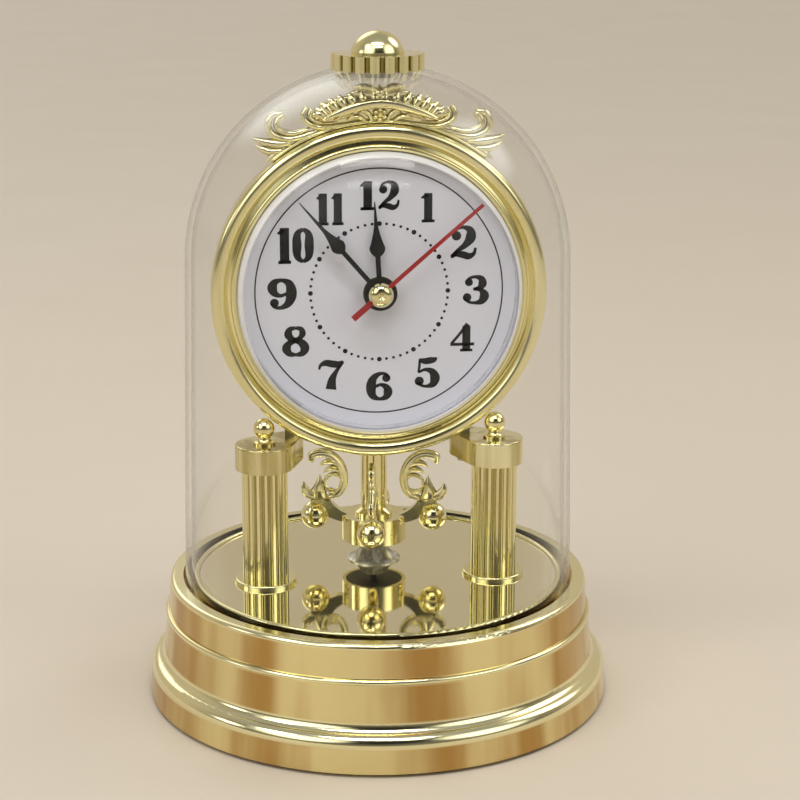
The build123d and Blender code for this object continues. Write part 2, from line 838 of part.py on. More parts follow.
with BuildPart() as circuit_board:
    with BuildSketch(front(board_y + 1.0)):
        with Locations(board_at):
            Rectangle(15, 18)
    extrude(amount=1.0)
    with BuildSketch(front(board_y + 1.8)):
        with Locations((board_at[0] - 1.5, board_at[1] - 3.0)):
            Circle(2.6)
        with Locations((board_at[0] - 1.5, board_at[1] + 5.0)):
            Rectangle(6.0, 2.2)
    extrude(amount=0.8)
keep(circuit_board.part, "circuit_board")

battery_y = movement_back - battery_r - 0.6
battery_left = -half_inside + spring_room

with BuildPart() as battery:
    with BuildSketch(Plane.YZ.offset(battery_left)):
        with Locations((battery_y, dial_z + bay_z)):
            Circle(battery_r)
    extrude(amount=battery_len)
    with BuildSketch(Plane.YZ.offset(battery_left + battery_len)):
        with Locations((battery_y, dial_z + bay_z)):
            Circle(2.75)
    extrude(amount=battery_nub)
keep(battery.part, "battery")

with BuildPart() as contact_plus:
    with BuildSketch(Plane.YZ.offset(battery_left + battery_len + battery_nub)):
        with Locations((battery_y, dial_z + bay_z)):
            Rectangle(9, 10)
    extrude(amount=contact_t)
keep(contact_plus.part, "contact_plus")

with BuildPart() as contact_minus:
    with BuildSketch(front(battery_y + 4)):
        with BuildLine():
            ThreePointArc(
                (-half_inside + 0.2, bay_z - 5.5),
                (battery_left - 0.2, bay_z),
                (-half_inside + 0.2, bay_z + 5.5),
            )
        trace(line_width=0.4)
        with Locations((-half_inside + 0.2, bay_z)):
            Rectangle(0.4, 12)
    extrude(amount=8)
keep(contact_minus.part, "contact_minus")


# Going train and motion work. A wheel has four corners for each tooth.

def tooth_corners(teeth, module, phase):
    """Corner points of a spur wheel whose first tooth points along phase, in degrees."""
    pitch_r = teeth * module / 2
    root_r = pitch_r - 0.95 * module
    tip_r = pitch_r + 0.75 * module
    corners = []
    for index in range(teeth):
        middle = phase + 360 * index / teeth
        step = 360 / teeth
        corners.append(polar(root_r, middle - 0.26 * step))
        corners.append(polar(tip_r, middle - 0.10 * step))
        corners.append(polar(tip_r, middle + 0.10 * step))
        corners.append(polar(root_r, middle + 0.26 * step))
    return corners


def mesh_phase(teeth, phase, other_teeth, angle):
    """Phase of the other wheel when its centre lies at an angle from a wheel's centre."""
    return angle + 180 - (phase - angle) * teeth / other_teeth + 180 / other_teeth


def make_wheel(spot, toothings, rods, bore=0, bore_ends=(0, 0)):
    """One wheel: toothings are (teeth, module, phase, front y), rods are (r, y0, y1)."""
    with BuildPart() as wheel:
        for teeth, module, phase, y in toothings:
            with BuildSketch(front(y + wheel_t)):
                with Locations(spot):
                    Polygon(*tooth_corners(teeth, module, phase), align=None)
            extrude(amount=wheel_t)
        for radius, y0, y1 in rods:
            with BuildSketch(front(y1)):
                with Locations(spot):
                    Circle(radius)
            extrude(amount=y1 - y0)
        if bore:
            with BuildSketch(front(bore_ends[1])):
                with Locations(spot):
                    Circle(bore)
            extrude(amount=bore_ends[1] - bore_ends[0], mode=Mode.SUBTRACT)
    return wheel.part


rotor_module = 2 * rotor_distance / (6 + 45)
fifth_module = 2 * fifth_distance / (10 + 40)
second_module = 2 * third_distance / (6 + 48)
centre_module = 2 * third_distance / (6 + 45)
cannon_module = 2 * minute_distance / (8 + 24)
hour_module = 2 * minute_distance / (8 + 32)
setting_module = 2 * setting_distance / (24 + 12)

fifth_pinion_phase = mesh_phase(40, 0, 10, 150)
rotor_phase = mesh_phase(45, 0, 6, 110)
third_phase = mesh_phase(6, 0, 48, 60)
third_pinion_phase = mesh_phase(45, 0, 6, 60)
minute_phase = mesh_phase(8, 0, 24, -20)
minute_pinion_phase = mesh_phase(32, 0, 8, -20)
setting_phase = mesh_phase(24, minute_phase, 12, -20)

front_pivot = plate_inside - 0.7
hour_hand_y = tube_front - 0.3
minute_hand_y = hour_hand_y - hand_step
second_hand_y = minute_hand_y - hand_step

keep(
    make_wheel(
        rotor_at,
        [(6, rotor_module, rotor_phase, layer_y[5])],
        [(arbor_r, front_pivot, stator_y + 1.0), (2.6, stator_y - 1.4, stator_y + 0.6)],
    ),
    "motor_rotor",
)
keep(
    make_wheel(
        fifth_at,
        [(45, rotor_module, 0, layer_y[5]), (10, fifth_module, fifth_pinion_phase, layer_y[4])],
        [(arbor_r, front_pivot, bridge_y + 0.9)],
    ),
    "fifth_wheel",
)
keep(
    make_wheel(
        (0, 0),
        [(40, fifth_module, 0, layer_y[4]), (6, second_module, 0, layer_y[3])],
        [(second_arbor_r, second_hand_y - hand_t, bridge_y + 0.9)],
    ),
    "second_wheel",
)
keep(
    make_wheel(
        third_at,
        [(48, second_module, third_phase, layer_y[3]), (6, centre_module, third_pinion_phase, layer_y[2])],
        [(arbor_r, front_pivot, bridge_y + 0.9)],
    ),
    "third_wheel",
)
keep(
    make_wheel(
        (0, 0),
        [(45, centre_module, 0, layer_y[2]), (8, cannon_module, 0, layer_y[1])],
        [(minute_pipe_r, minute_hand_y - hand_t, layer_y[2])],
        second_arbor_r + run_gap,
        (minute_hand_y - hand_t, layer_y[2] + wheel_t),
    ),
    "centre_wheel",
)
keep(
    make_wheel(
        minute_at,
        [(24, cannon_module, minute_phase, layer_y[1]), (8, hour_module, minute_pinion_phase, layer_y[0])],
        [(0.9, layer_y[0], layer_y[1])],
        0.5 + run_gap,
        (layer_y[0], layer_y[1] + wheel_t),
    ),
    "minute_wheel",
)
keep(
    make_wheel(
        (0, 0),
        [(32, hour_module, 0, layer_y[0])],
        [(hour_pipe_r, hour_hand_y - hand_t, layer_y[0])],
        minute_pipe_r + run_gap,
        (hour_hand_y - hand_t, layer_y[0] + wheel_t),
    ),
    "hour_wheel",
)

with BuildPart() as setting_knob:
    with BuildSketch(front(movement_back + 4.2)):
        with Locations(setting_at):
            Circle(5.0)
            with PolarLocations(5.2, 16):
                Circle(0.5, mode=Mode.SUBTRACT)
    extrude(amount=3.6)
    with BuildSketch(front(movement_back + 0.6)):
        with Locations(setting_at):
            Circle(1.0)
    extrude(amount=movement_back + 0.6 - layer_y[1] - wheel_t)
    with BuildSketch(front(layer_y[1] + wheel_t)):
        with Locations(setting_at):
            Polygon(*tooth_corners(12, setting_module, setting_phase), align=None)
    extrude(amount=wheel_t)
    with BuildSketch(front(layer_y[1])):
        with Locations(setting_at):
            Circle(arbor_r)
    extrude(amount=layer_y[1] - front_pivot)
keep(setting_knob.part, "setting_knob")

# Hands and their button


def make_hand(y, turn, length, bulge_at, bulge_w, stem_w, bore):
    """Spade hand: hub disc, straight stem, round bulge and a tapered tip."""
    with BuildPart() as hand:
        with BuildSketch(hand_plane(y, turn)):
            with BuildLine():
                Line((0, 0), (stem_w / 2, 0))
                Line((stem_w / 2, 0), (stem_w / 2, bulge_at - bulge_w * 0.55))
                bow(
                    (stem_w / 2, bulge_at - bulge_w * 0.55),
                    (bulge_w / 2, bulge_at),
                    -bulge_w * 0.08,
                )
                bow((bulge_w / 2, bulge_at), (stem_w * 0.4, bulge_at + bulge_w * 1.4), 0.25)
                Line((stem_w * 0.4, bulge_at + bulge_w * 1.4), (0.15, length))
                Line((0.15, length), (0, length))
                mirror(about=Plane.YZ)
            make_face()
            Circle(hand_hub_r)
            Circle(bore, mode=Mode.SUBTRACT)
        extrude(amount=hand_t)
    return hand.part


hour_bulge = hour_len - hour_taper
hour_hand = make_hand(hour_hand_y, hour_turn, hour_len, hour_bulge, hour_bulge_w, hour_stem_w, hour_pipe_r)
keep(hour_hand, "hour_hand")
minute_bulge = minute_len - minute_taper
minute_hand = make_hand(
    minute_hand_y, minute_turn, minute_len, minute_bulge, minute_bulge_w, minute_stem_w, minute_pipe_r
)
keep(minute_hand, "minute_hand")

with BuildPart() as second_hand:
    with BuildSketch(hand_plane(second_hand_y, second_turn)):
        with Locations((0, second_len / 2)):
            Trapezoid(second_w, second_len, 89.8)
        with Locations((0, -second_tail / 2)):
            Rectangle(second_tail_w, second_tail)
        Circle(second_hub_r)
        Circle(second_arbor_r, mode=Mode.SUBTRACT)
    extrude(amount=hand_t)
keep(second_hand.part, "second_hand")

button_y = second_hand_y - hand_t

with BuildPart() as hand_button:
    with BuildSketch(Plane.YZ):
        with BuildLine():
            Polyline(
                (button_y - boss_button_h + 0.8, dial_z),
                (button_y, dial_z),
                (button_y, dial_z + boss_button_r),
                (button_y - 0.9, dial_z + boss_button_r),
            )
            bow(
                (button_y - 0.9, dial_z + boss_button_r),
                (button_y - boss_button_h, dial_z + 1.1),
                -0.7,
            )
            Line((button_y - boss_button_h, dial_z + 1.1), (button_y - boss_button_h + 0.8, dial_z))
        make_face()
    revolve(axis=dial_axis)
keep(hand_button.part, "hand_button")

# Drive that turns the pendulum, in the foot of the case

with BuildPart() as drive_housing:
    with BuildSketch(Plane.XY.offset(drive_floor)):
        with Locations(bell_spot):
            Rectangle(drive_w, drive_d)
        with Locations((0, pendulum_y + 1)):
            SlotCenterToCenter(2 * drive_x, 2 * ear_r)
    extrude(amount=drive_floor_t)
    with BuildSketch(Plane.XY.offset(drive_floor)):
        with Locations(bell_spot):
            Rectangle(drive_w, drive_d)
    extrude(amount=drive_h - drive_lid_t)
    with BuildSketch(Plane.XY.offset(drive_floor + drive_floor_t)):
        with Locations(bell_spot):
            Rectangle(drive_w - 2 * drive_wall, drive_d - 2 * drive_wall)
    extrude(amount=drive_h - drive_lid_t - drive_floor_t, mode=Mode.SUBTRACT)
    with BuildSketch(Plane.XY.offset(drive_floor)):
        with Locations(bell_spot):
            Circle(spindle_r + run_gap)
        with Locations(*drive_spots):
            Circle(case_screw_r + hold_gap)
    extrude(amount=drive_floor_t, mode=Mode.SUBTRACT)
keep(drive_housing.part, "drive_housing")

with BuildPart() as drive_lid:
    with BuildSketch(Plane.XY.offset(drive_floor + drive_h - drive_lid_t)):
        with Locations(bell_spot):
            Rectangle(drive_w, drive_d)
            Circle(spindle_r + run_gap, mode=Mode.SUBTRACT)
    extrude(amount=drive_lid_t)
keep(drive_lid.part, "drive_lid")

with BuildPart() as case_screws:
    for spots, seat in ((leg_spots, cap_bottom), (drive_spots, drum_bottom - 1.0)):
        with BuildSketch(Plane.XY.offset(seat - 2.4)):
            with Locations(*spots):
                Circle(1.9)
        extrude(amount=2.4)
        with BuildSketch(Plane.XY.offset(seat)):
            with Locations(*spots):
                Circle(case_screw_r)
        extrude(amount=case_screw_len)
keep(case_screws.part, "case_screws")

with BuildPart() as drive_coil:
    with BuildSketch(Plane.YZ.offset(drive_w / 2 - drive_wall)):
        with Locations((pendulum_y, drive_floor + drive_h / 2)):
            Circle(3.0)
    extrude(amount=-5)
keep(drive_coil.part, "drive_coil")

# Pendulum: spindle, shaft, hub with four arms, balls and scrolls

hub_top = hub_lift + hub_h
shaft_top = drive_floor - plate_top - 3.0
collar_z = drive_floor + drive_floor_t - plate_top

with BuildPart() as drive_magnet:
    with BuildSketch(Plane.XY.offset(drive_floor + drive_floor_t + 2.0)):
        with Locations(bell_spot):
            Circle(drive_d / 2 - drive_wall - 0.4)
            Circle(spindle_r, mode=Mode.SUBTRACT)
    extrude(amount=3.0)
keep(drive_magnet.part, "drive_magnet")

with BuildPart() as pendulum_shaft:
    with BuildSketch(arm_plane(0)):
        with BuildLine():
            Polyline(
                (0, hub_top),
                (shaft_r + 1.8, hub_top),
                (shaft_r + 1.8, hub_top + 1.0),
                (shaft_r, hub_top + 2.4),
                (shaft_r, shaft_top),
                (spindle_r, shaft_top),
                (spindle_r, collar_z),
                (2.0, collar_z),
                (2.0, collar_z + 2.0),
                (spindle_r, collar_z + 2.0),
                (spindle_r, collar_z + drive_h - drive_floor_t - 0.2),
                (0, collar_z + drive_h - drive_floor_t - 0.2),
                (0, hub_top),
            )
        make_face()
    revolve(axis=pendulum_axis)
keep(pendulum_shaft.part, "pendulum_shaft")

with BuildPart() as pendulum_hub:
    with BuildSketch(Plane.XY.offset(plate_top + hub_lift)):
        with Locations(bell_spot):
            Circle(hub_r)
    extrude(amount=hub_h)
    with BuildSketch(Plane.XY.offset(plate_top + hub_lift)):
        with Locations(bell_spot):
            Circle(hub_r - 1.2)
    extrude(amount=1.2, mode=Mode.SUBTRACT)
    for index in range(4):
        with BuildSketch(arm_plane(index)):
            with BuildLine():
                bow((hub_r - 2, hub_top), (arm_len - 5.3, pad_lift), -0.7)
                Polyline(
                    (arm_len - 5.3, pad_lift),
                    (arm_len + 1.4, pad_lift),
                    (arm_len + 1.4, ball_lift + 3),
                    (arm_len - 2.0, ball_lift + 1.6),
                )
                bow((arm_len - 2.0, ball_lift + 1.6), (hub_r - 1, hub_top - arm_root), 0.7)
                Line((hub_r - 1, hub_top - arm_root), (hub_r - 2, hub_top))
            make_face()
        extrude(amount=arm_t / 2, both=True)
    for index in range(4):
        with Locations(arm_plane(index).location * Location((arm_len, ball_lift, 0))):
            Sphere(ball_r, mode=Mode.SUBTRACT)
keep(pendulum_hub.part, "pendulum_hub")

with BuildPart() as hub_disc:
    with BuildSketch(Plane.XY.offset(plate_top + hub_lift)):
        with Locations(bell_spot):
            Circle(hub_r - 1.2)
    extrude(amount=1.2)
    with BuildSketch(Plane.XY.offset(plate_top + hub_lift)):
        with Locations(bell_spot):
            Circle(pin_r)
    extrude(amount=-4.6)
keep(hub_disc.part, "hub_disc")

arm_words = ("right", "back", "left", "front")

pole_r = 1.3
pole_x = arm_len + math.sqrt(ball_r ** 2 - pole_r ** 2)

with BuildPart() as pendulum_balls:
    for index in range(4):
        plane = arm_plane(index)
        with BuildSketch(plane):
            with BuildLine():
                ThreePointArc(
                    (arm_len - ball_r, ball_lift),
                    (arm_len, ball_lift + ball_r),
                    (pole_x, ball_lift + pole_r),
                )
                Polyline(
                    (pole_x, ball_lift + pole_r),
                    (pole_x - 1.2, ball_lift + pole_r),
                    (pole_x - 1.2, ball_lift),
                    (arm_len - ball_r, ball_lift),
                )
            make_face()
        revolve(axis=Axis(plane.from_local_coords((0, ball_lift, 0)), plane.x_dir))
keep(pendulum_balls.part, "pendulum_balls")

for index, word in enumerate(arm_words):
    with BuildPart() as scroll:
        with BuildSketch(arm_plane(index)):
            with BuildLine():
                foot = (arm_len - 4.6, pad_lift + 0.6)
                waist = (arm_len - 11.0, pad_lift + 6.8)
                summit = (arm_len - 3.6, pad_lift + 17.0)
                bow(foot, waist, 1.6)
                bow(waist, summit, 2.4)
                bow(summit, (arm_len + 0.4, pad_lift + 14.2), 2.0)
            trace(line_width=scroll_band)
            with BuildLine():
                bow((arm_len - 10.0, pad_lift + 6.4), (arm_len - 3.4, pad_lift + 6.6), 2.0)
                bow((arm_len - 9.4, pad_lift + 10.2), (arm_len - 3.2, pad_lift + 12.4), 1.3)
                bow((arm_len - 10.2, pad_lift + 8.0), (arm_len - 3.6, pad_lift + 10.2), 1.6)
            trace(line_width=scroll_band * 0.7)
            with BuildLine():
                leaf_foot = (arm_len - 4.8, pad_lift)
                leaf_tip = (arm_len - 1.9, pad_lift + 9.8)
                leaf_fork = (arm_len + 0.6, pad_lift + 4.2)
                curl_tip = (arm_len + 3.6, pad_lift + 6.3)
                curl_foot = (arm_len - 0.6, pad_lift)
                bow(leaf_foot, leaf_tip, 0.9)
                bow(leaf_tip, leaf_fork, 0.5)
                bow(leaf_fork, curl_tip, -1.1)
                bow(curl_tip, curl_foot, 2.3)
                Line(curl_foot, leaf_foot)
            make_face()
            with Locations((arm_len - 2.0, pad_lift + 0.6)):
                Rectangle(6.0, 1.2)
            with Locations((arm_len - 2.0, pad_lift - 3)):
                Rectangle(30.0, 6.0, mode=Mode.SUBTRACT)
        extrude(amount=scroll_t / 2, both=True)
    keep(scroll.part, f"pendulum_scroll_{word}")

# Dome with its finial

dome_hole_r = dome_screw_r + hold_gap
dome_inner_r = dome_top_r - dome_wall
outer_lip = dome_spring + math.sqrt(dome_top_r ** 2 - dome_hole_r ** 2)
inner_lip = dome_spring + math.sqrt(dome_inner_r ** 2 - dome_hole_r ** 2)
half = math.sqrt(0.5)

with BuildPart() as dome:
    with BuildSketch(Plane.XZ):
        with BuildLine():
            Line((dome_r, groove_floor), (dome_top_r, dome_spring))
            ThreePointArc(
                (dome_top_r, dome_spring),
                (dome_top_r * half, dome_spring + dome_top_r * half),
                (dome_hole_r, outer_lip),
            )
            Line((dome_hole_r, outer_lip), (dome_hole_r, inner_lip))
            ThreePointArc(
                (dome_hole_r, inner_lip),
                (dome_inner_r * half, dome_spring + dome_inner_r * half),
                (dome_inner_r, dome_spring),
            )
            Polyline(
                (dome_inner_r, dome_spring),
                (dome_r - dome_wall, groove_floor),
                (dome_r, groove_floor),
            )
        make_face()
    revolve(axis=Axis.Z)
keep(dome.part, "dome")

lobe_r = 1.9
disc_foot = dome_spring + math.sqrt(dome_top_r ** 2 - disc_r ** 2)
disc_top = disc_foot + disc_h

with BuildPart() as finial_disc:
    with BuildSketch(Plane.XY.offset(disc_foot)):
        Circle(disc_r - lobe_r * 0.8)
        with PolarLocations(disc_r - lobe_r, lobe_count):
            Circle(lobe_r)
    extrude(amount=disc_h)
    with Locations((0, 0, dome_spring)):
        Sphere(dome_top_r, mode=Mode.SUBTRACT)
    with BuildSketch(Plane.XY.offset(disc_foot)):
        Circle(dome_hole_r)
    extrude(amount=disc_h, mode=Mode.SUBTRACT)
keep(finial_disc.part, "finial_disc")

with BuildPart() as finial_knob:
    with BuildSketch(Plane.XZ):
        with BuildLine():
            Polyline((dome_hole_r, disc_top), (knob_r, disc_top), (knob_r, disc_top + 0.6))
            crown((0, disc_top + knob_h), (knob_r, disc_top + 0.6), (1, 0))
            Polyline(
                (0, disc_top + knob_h),
                (0, disc_top + 4),
                (dome_hole_r, disc_top + 4),
                (dome_hole_r, disc_top),
            )
        make_face()
    revolve(axis=Axis.Z)
keep(finial_knob.part, "finial_knob")

head_r = 5.0
head_top = dome_spring + math.sqrt(dome_inner_r ** 2 - head_r ** 2)

with BuildPart() as dome_screw:
    with BuildSketch(Plane.XY.offset(head_top - 1.8)):
        Circle(head_r)
    extrude(amount=1.8)
    with BuildSketch(Plane.XY.offset(head_top)):
        Circle(dome_screw_r)
    extrude(amount=disc_top + 3.5 - head_top)
    with BuildSketch(Plane.XY.offset(head_top - 1.8)):
        Rectangle(4.0, 0.8)
        Rectangle(0.8, 4.0)
    extrude(amount=0.9, mode=Mode.SUBTRACT)
keep(dome_screw.part, "dome_screw")
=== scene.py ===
"""Dresses the desk pendulum clock: dial print, relief work, finishes, floor, light and camera."""
import json
import logging
import math
from dataclasses import dataclass, field
from enum import Enum
from typing import Dict, List, Optional, Sequence, Tuple, Union

import bmesh
import bpy
import numpy as np
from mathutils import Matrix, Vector


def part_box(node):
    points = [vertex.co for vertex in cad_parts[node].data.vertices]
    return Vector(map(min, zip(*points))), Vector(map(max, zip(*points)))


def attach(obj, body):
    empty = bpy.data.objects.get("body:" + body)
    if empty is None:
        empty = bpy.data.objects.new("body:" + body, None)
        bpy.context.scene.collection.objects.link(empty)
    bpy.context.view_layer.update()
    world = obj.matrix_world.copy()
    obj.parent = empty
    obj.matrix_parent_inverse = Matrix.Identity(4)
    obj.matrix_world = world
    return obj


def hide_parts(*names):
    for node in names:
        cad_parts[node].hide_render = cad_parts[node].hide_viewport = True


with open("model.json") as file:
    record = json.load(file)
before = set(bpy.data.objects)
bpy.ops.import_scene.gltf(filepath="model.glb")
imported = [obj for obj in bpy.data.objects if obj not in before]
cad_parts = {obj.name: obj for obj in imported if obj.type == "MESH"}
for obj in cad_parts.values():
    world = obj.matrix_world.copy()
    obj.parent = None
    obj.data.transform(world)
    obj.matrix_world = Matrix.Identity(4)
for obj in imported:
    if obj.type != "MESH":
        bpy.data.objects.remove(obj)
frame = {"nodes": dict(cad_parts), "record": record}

Colour = Tuple[float, float, float]
Point = Tuple[float, float, float]
Pair = Tuple[float, float]
Knots = Sequence[Tuple[float, ...]]
Number = Union[float, "Value"]

LOG = logging.getLogger("desk_clock")
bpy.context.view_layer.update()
MM = 0.001
# The dial's middle and the lobes of the finial's disc, in metres.
DIAL_Z = (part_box("dial")[0][2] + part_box("dial")[1][2]) / 2
LOBE_ROUND = 0.4 * MM
LOBE_DEPTH = 1.0 * MM
LOBE_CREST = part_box("finial_disc")[1][0] - LOBE_ROUND
LOBE_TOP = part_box("finial_disc")[1][2]
# Points closer than this, in metres, are merged.
MERGE = 0.0002 * MM
# A strand's least half width and half depth, in millimetres.
LEAST = 0.02
# Points round a section, rows of a ball and rows of a printed stroke.
ROUND = 20
BALL_ROWS = 13
STROKE_ROWS = 40
# The bends of the sections at a strand's end, in degrees.
CAP_BENDS = (90.0, 67.0, 45.0, 22.0)
# A Mix node's sockets for two colours and for their mixture.
MIX_COLOURS = (6, 7)
MIX_RESULT = 2


def in_mm(box: Sequence[Point]) -> np.ndarray:
    """The low and the high corner of a box, in millimetres."""
    return np.array(box) / MM


def add_object(name: str, data: bpy.types.ID) -> bpy.types.Object:
    """Puts an object into the scene.

    Args:
        name: its name.
        data: its mesh, light or camera.

    Returns:
        The object.
    """
    made = bpy.data.objects.new(name, data)
    bpy.context.scene.collection.objects.link(made)
    return made


class Value:
    """A socket that takes part in Python arithmetic: each operator adds a Math node."""

    def __init__(self, tree: "Tree", socket: bpy.types.NodeSocket) -> None:
        """Wraps one output socket of a tree."""
        self.tree = tree
        self.socket = socket

    def _math(self, operation: str, first: Number, second: Number) -> "Value":
        """Adds one Math node for two values or sockets and gives its output."""
        return self.tree.value("ShaderNodeMath", {"operation": operation}, {0: first, 1: second})

    def __add__(self, other: Number) -> "Value":
        """self + other."""
        return self._math("ADD", self, other)

    def __sub__(self, other: Number) -> "Value":
        """self - other."""
        return self._math("SUBTRACT", self, other)

    def __rsub__(self, other: Number) -> "Value":
        """other - self."""
        return self._math("SUBTRACT", other, self)

    def __mul__(self, other: Number) -> "Value":
        """self * other."""
        return self._math("MULTIPLY", self, other)

    def __pow__(self, other: Number) -> "Value":
        """self ** other."""
        return self._math("POWER", self, other)

    __radd__ = __add__

    def step(self, low: float, high: float) -> "Value":
        """Rises smoothly from 0 at low to 1 at high."""
        inputs = {"Value": self, "From Min": low, "From Max": high}
        return self.tree.value("ShaderNodeMapRange", {"interpolation_type": "SMOOTHSTEP"}, inputs)


@dataclass(frozen=True)
class Noise:
    """Cloudy noise: cells to the metre, octaves, a factor along each axis and a smooth edge, if any."""

    scale: float
    detail: float = 3.0
    stretch: Point = (1.0, 1.0, 1.0)
    edge: Optional[Pair] = None


class Tree:
    """The shader nodes of one material or world."""

    def __init__(self, owner: Union[bpy.types.Material, bpy.types.World]) -> None:
        """Empties the owner's node tree.

        Args:
            owner: the material or world.
        """
        owner.use_nodes = True
        self.nodes = owner.node_tree.nodes
        self.links = owner.node_tree.links
        self.nodes.clear()

    def node(self, kind: str, settings: Optional[dict] = None,
             inputs: Optional[dict] = None) -> bpy.types.Node:
        """Adds a node.

        Args:
            kind: the node's type.
            settings: its properties, set first.
            inputs: values or links for its sockets, by name or number.

        Returns:
            The node.
        """
        made = self.nodes.new(kind)
        for key, setting in (settings or {}).items():
            setattr(made, key, setting)
        for key, given in (inputs or {}).items():
            if isinstance(given, Value):
                self.links.new(given.socket, made.inputs[key])
            else:
                made.inputs[key].default_value = given
        return made

    def value(self, kind: str, settings: Optional[dict] = None, inputs: Optional[dict] = None,
              output: Union[int, str] = 0) -> Value:
        """Adds a node, as in node, and gives one of its outputs, by name or number."""
        return Value(self, self.node(kind, settings, inputs).outputs[output])

    def place(self, stretch: Point = (1.0, 1.0, 1.0)) -> Value:
        """Object coordinates, with a factor along each axis."""
        raw = self.value("ShaderNodeTexCoord", output="Object")
        return self.value("ShaderNodeMapping", inputs={"Vector": raw, "Scale": stretch})

    def axes(self, vector: Value) -> List[Value]:
        """Splits a vector into its x, y and z."""
        split = self.node("ShaderNodeSeparateXYZ", inputs={0: vector})
        return [Value(self, split.outputs[axis]) for axis in "XYZ"]

    def noise(self, like: Noise) -> Value:
        """Noise between 0 and 1.

        Args:
            like: what it is like.

        Returns:
            The noise, past its edge if it has one.
        """
        inputs = {"Vector": self.place(like.stretch), "Scale": like.scale, "Detail": like.detail}
        made = self.value("ShaderNodeTexNoise", inputs=inputs)
        return made.step(*like.edge) if like.edge else made

    def blend(self, share: Number, first: Union[Colour, Value], second: Union[Colour, Value]) -> Value:
        """Mixes two colours: the first at a share of 0, the second at 1."""
        pair = {at: c if isinstance(c, Value) else (*c, 1.0) for at, c in zip(MIX_COLOURS, (first, second))}
        return self.value("ShaderNodeMix", {"data_type": "RGBA"}, {0: share, **pair}, MIX_RESULT)

    def cover(self, share: Number, first: Value, second: Value) -> Value:
        """Mixes two shaders: the first at a share of 0, the second at 1."""
        return self.value("ShaderNodeMixShader", inputs={0: share, 1: first, 2: second})

    def bump(self, height: Value, strength: float, depth: float) -> Value:
        """Normal of a surface with a height from 0 to 1, at a share of its depth in metres."""
        inputs = {"Strength": strength, "Distance": depth, "Height": height}
        return self.value("ShaderNodeBump", inputs=inputs)

    def shader(self, **inputs: Union[Number, Tuple[float, ...]]) -> Value:
        """A Principled shader; underscores in the names of its sockets stand for spaces."""
        named = {key.replace("_", " "): given for key, given in inputs.items()}
        return self.value("ShaderNodeBsdfPrincipled", inputs=named)


@dataclass(frozen=True)
class Finish:
    """What a surface is made of."""

    name: str

    def nodes(self, tree: Tree) -> Value:
        """Adds the finish's nodes and gives its shader."""
        raise NotImplementedError

    def material(self) -> bpy.types.Material:
        """The finish's material, made once.

        Returns:
            The material.
        """
        made = bpy.data.materials.get(f"finish_{self.name}")
        if made is None:
            made = bpy.data.materials.new(f"finish_{self.name}")
            tree = Tree(made)
            tree.node("ShaderNodeOutputMaterial", inputs={"Surface": self.nodes(tree)})
        return made


@dataclass(frozen=True)
class Coating(Finish):
    """Two tones in clouds, a gloss that clouds and grain vary, and ripples with a depth in metres.

    As it stands, it is print or paint on metal. Without a ripple of its own, the grain makes the ripples.
    """

    tone: Colour
    cloud: Colour
    rough: float
    coat: float = 0.0
    coat_rough: float = 0.08
    metallic: float = 0.0
    clouds: Noise = Noise(60)
    grain: Noise = Noise(4200, 2)
    ripple: Optional[Noise] = None
    rough_clouds: float = 0.0
    rough_grain: float = 0.10
    bump: float = 0.10
    depth: float = 0.00004

    def tones(self, tree: Tree, clouds: Value) -> Value:
        """The colour: clouds mix the two tones."""
        return tree.blend(clouds, self.tone, self.cloud)

    def nodes(self, tree: Tree) -> Value:
        """Clouds mix the tones, clouds and grain vary the gloss, and the ripple makes a bump if it is deep.

        Args:
            tree: the material's nodes.

        Returns:
            The shader.
        """
        clouds = tree.noise(self.clouds)
        grain = tree.noise(self.grain)
        inputs = {
            "Base_Color": self.tones(tree, clouds),
            "Metallic": self.metallic,
            "Roughness": self.rough + clouds * self.rough_clouds + grain * self.rough_grain,
            "Coat_Weight": self.coat,
            "Coat_Roughness": self.coat_rough,
        }
        if self.depth:
            ripple = tree.noise(self.ripple) if self.ripple else grain
            inputs["Normal"] = tree.bump(ripple, self.bump, self.depth)
        return tree.shader(**inputs)


@dataclass(frozen=True)
class Gold(Coating):
    """Bright plating: a clear tone, a deeper tone in clouds, faint wiping marks. Where the clouds are drawn
    out into long upright streaks with a far deeper tone, as on the base and the caps, they are painted
    reflections.
    """

    rough: float = 0.10
    metallic: float = 1.0
    clouds: Noise = Noise(45, 4, (1, 1, 0.25), (0.32, 0.74))
    grain: Noise = Noise(900, 3, (1, 1, 0.25))
    ripple: Optional[Noise] = Noise(260, 2)
    rough_clouds: float = 0.03
    rough_grain: float = 0.07
    bump: float = 0.05
    depth: float = 0.0002


@dataclass(frozen=True)
class Fluted(Gold):
    """Plating with painted shade in the flutes round an upright axis and round its mirror image in X, in
    metres.
    """

    shade: Colour = (0.34, 0.28, 0.09)
    axis: Pair = (0.0375, -0.007)
    floor_r: float = 0.0066
    crest_r: float = 0.0072
    top: float = 1.0
    top_clear: Pair = (0.0004, 0.0001)

    def tones(self, tree: Tree, clouds: Value) -> Value:
        """Mixes in the painted shade below the top: full at the flutes' floor, none at their crests, by the
        distance.

        Args:
            tree: the material's nodes.
            clouds: how much of the deeper tone there is.

        Returns:
            The colour.
        """
        x, y, z = tree.axes(tree.place())
        side = (x * x) ** 0.5 - self.axis[0]
        deep = y - self.axis[1]
        radius = (side * side + deep * deep) ** 0.5
        below = 1.0 - z.step(self.top - self.top_clear[0], self.top - self.top_clear[1])
        flute_shade = (1.0 - radius.step(self.floor_r, self.crest_r)) * below
        return tree.blend(flute_shade, super().tones(tree, clouds), self.shade)


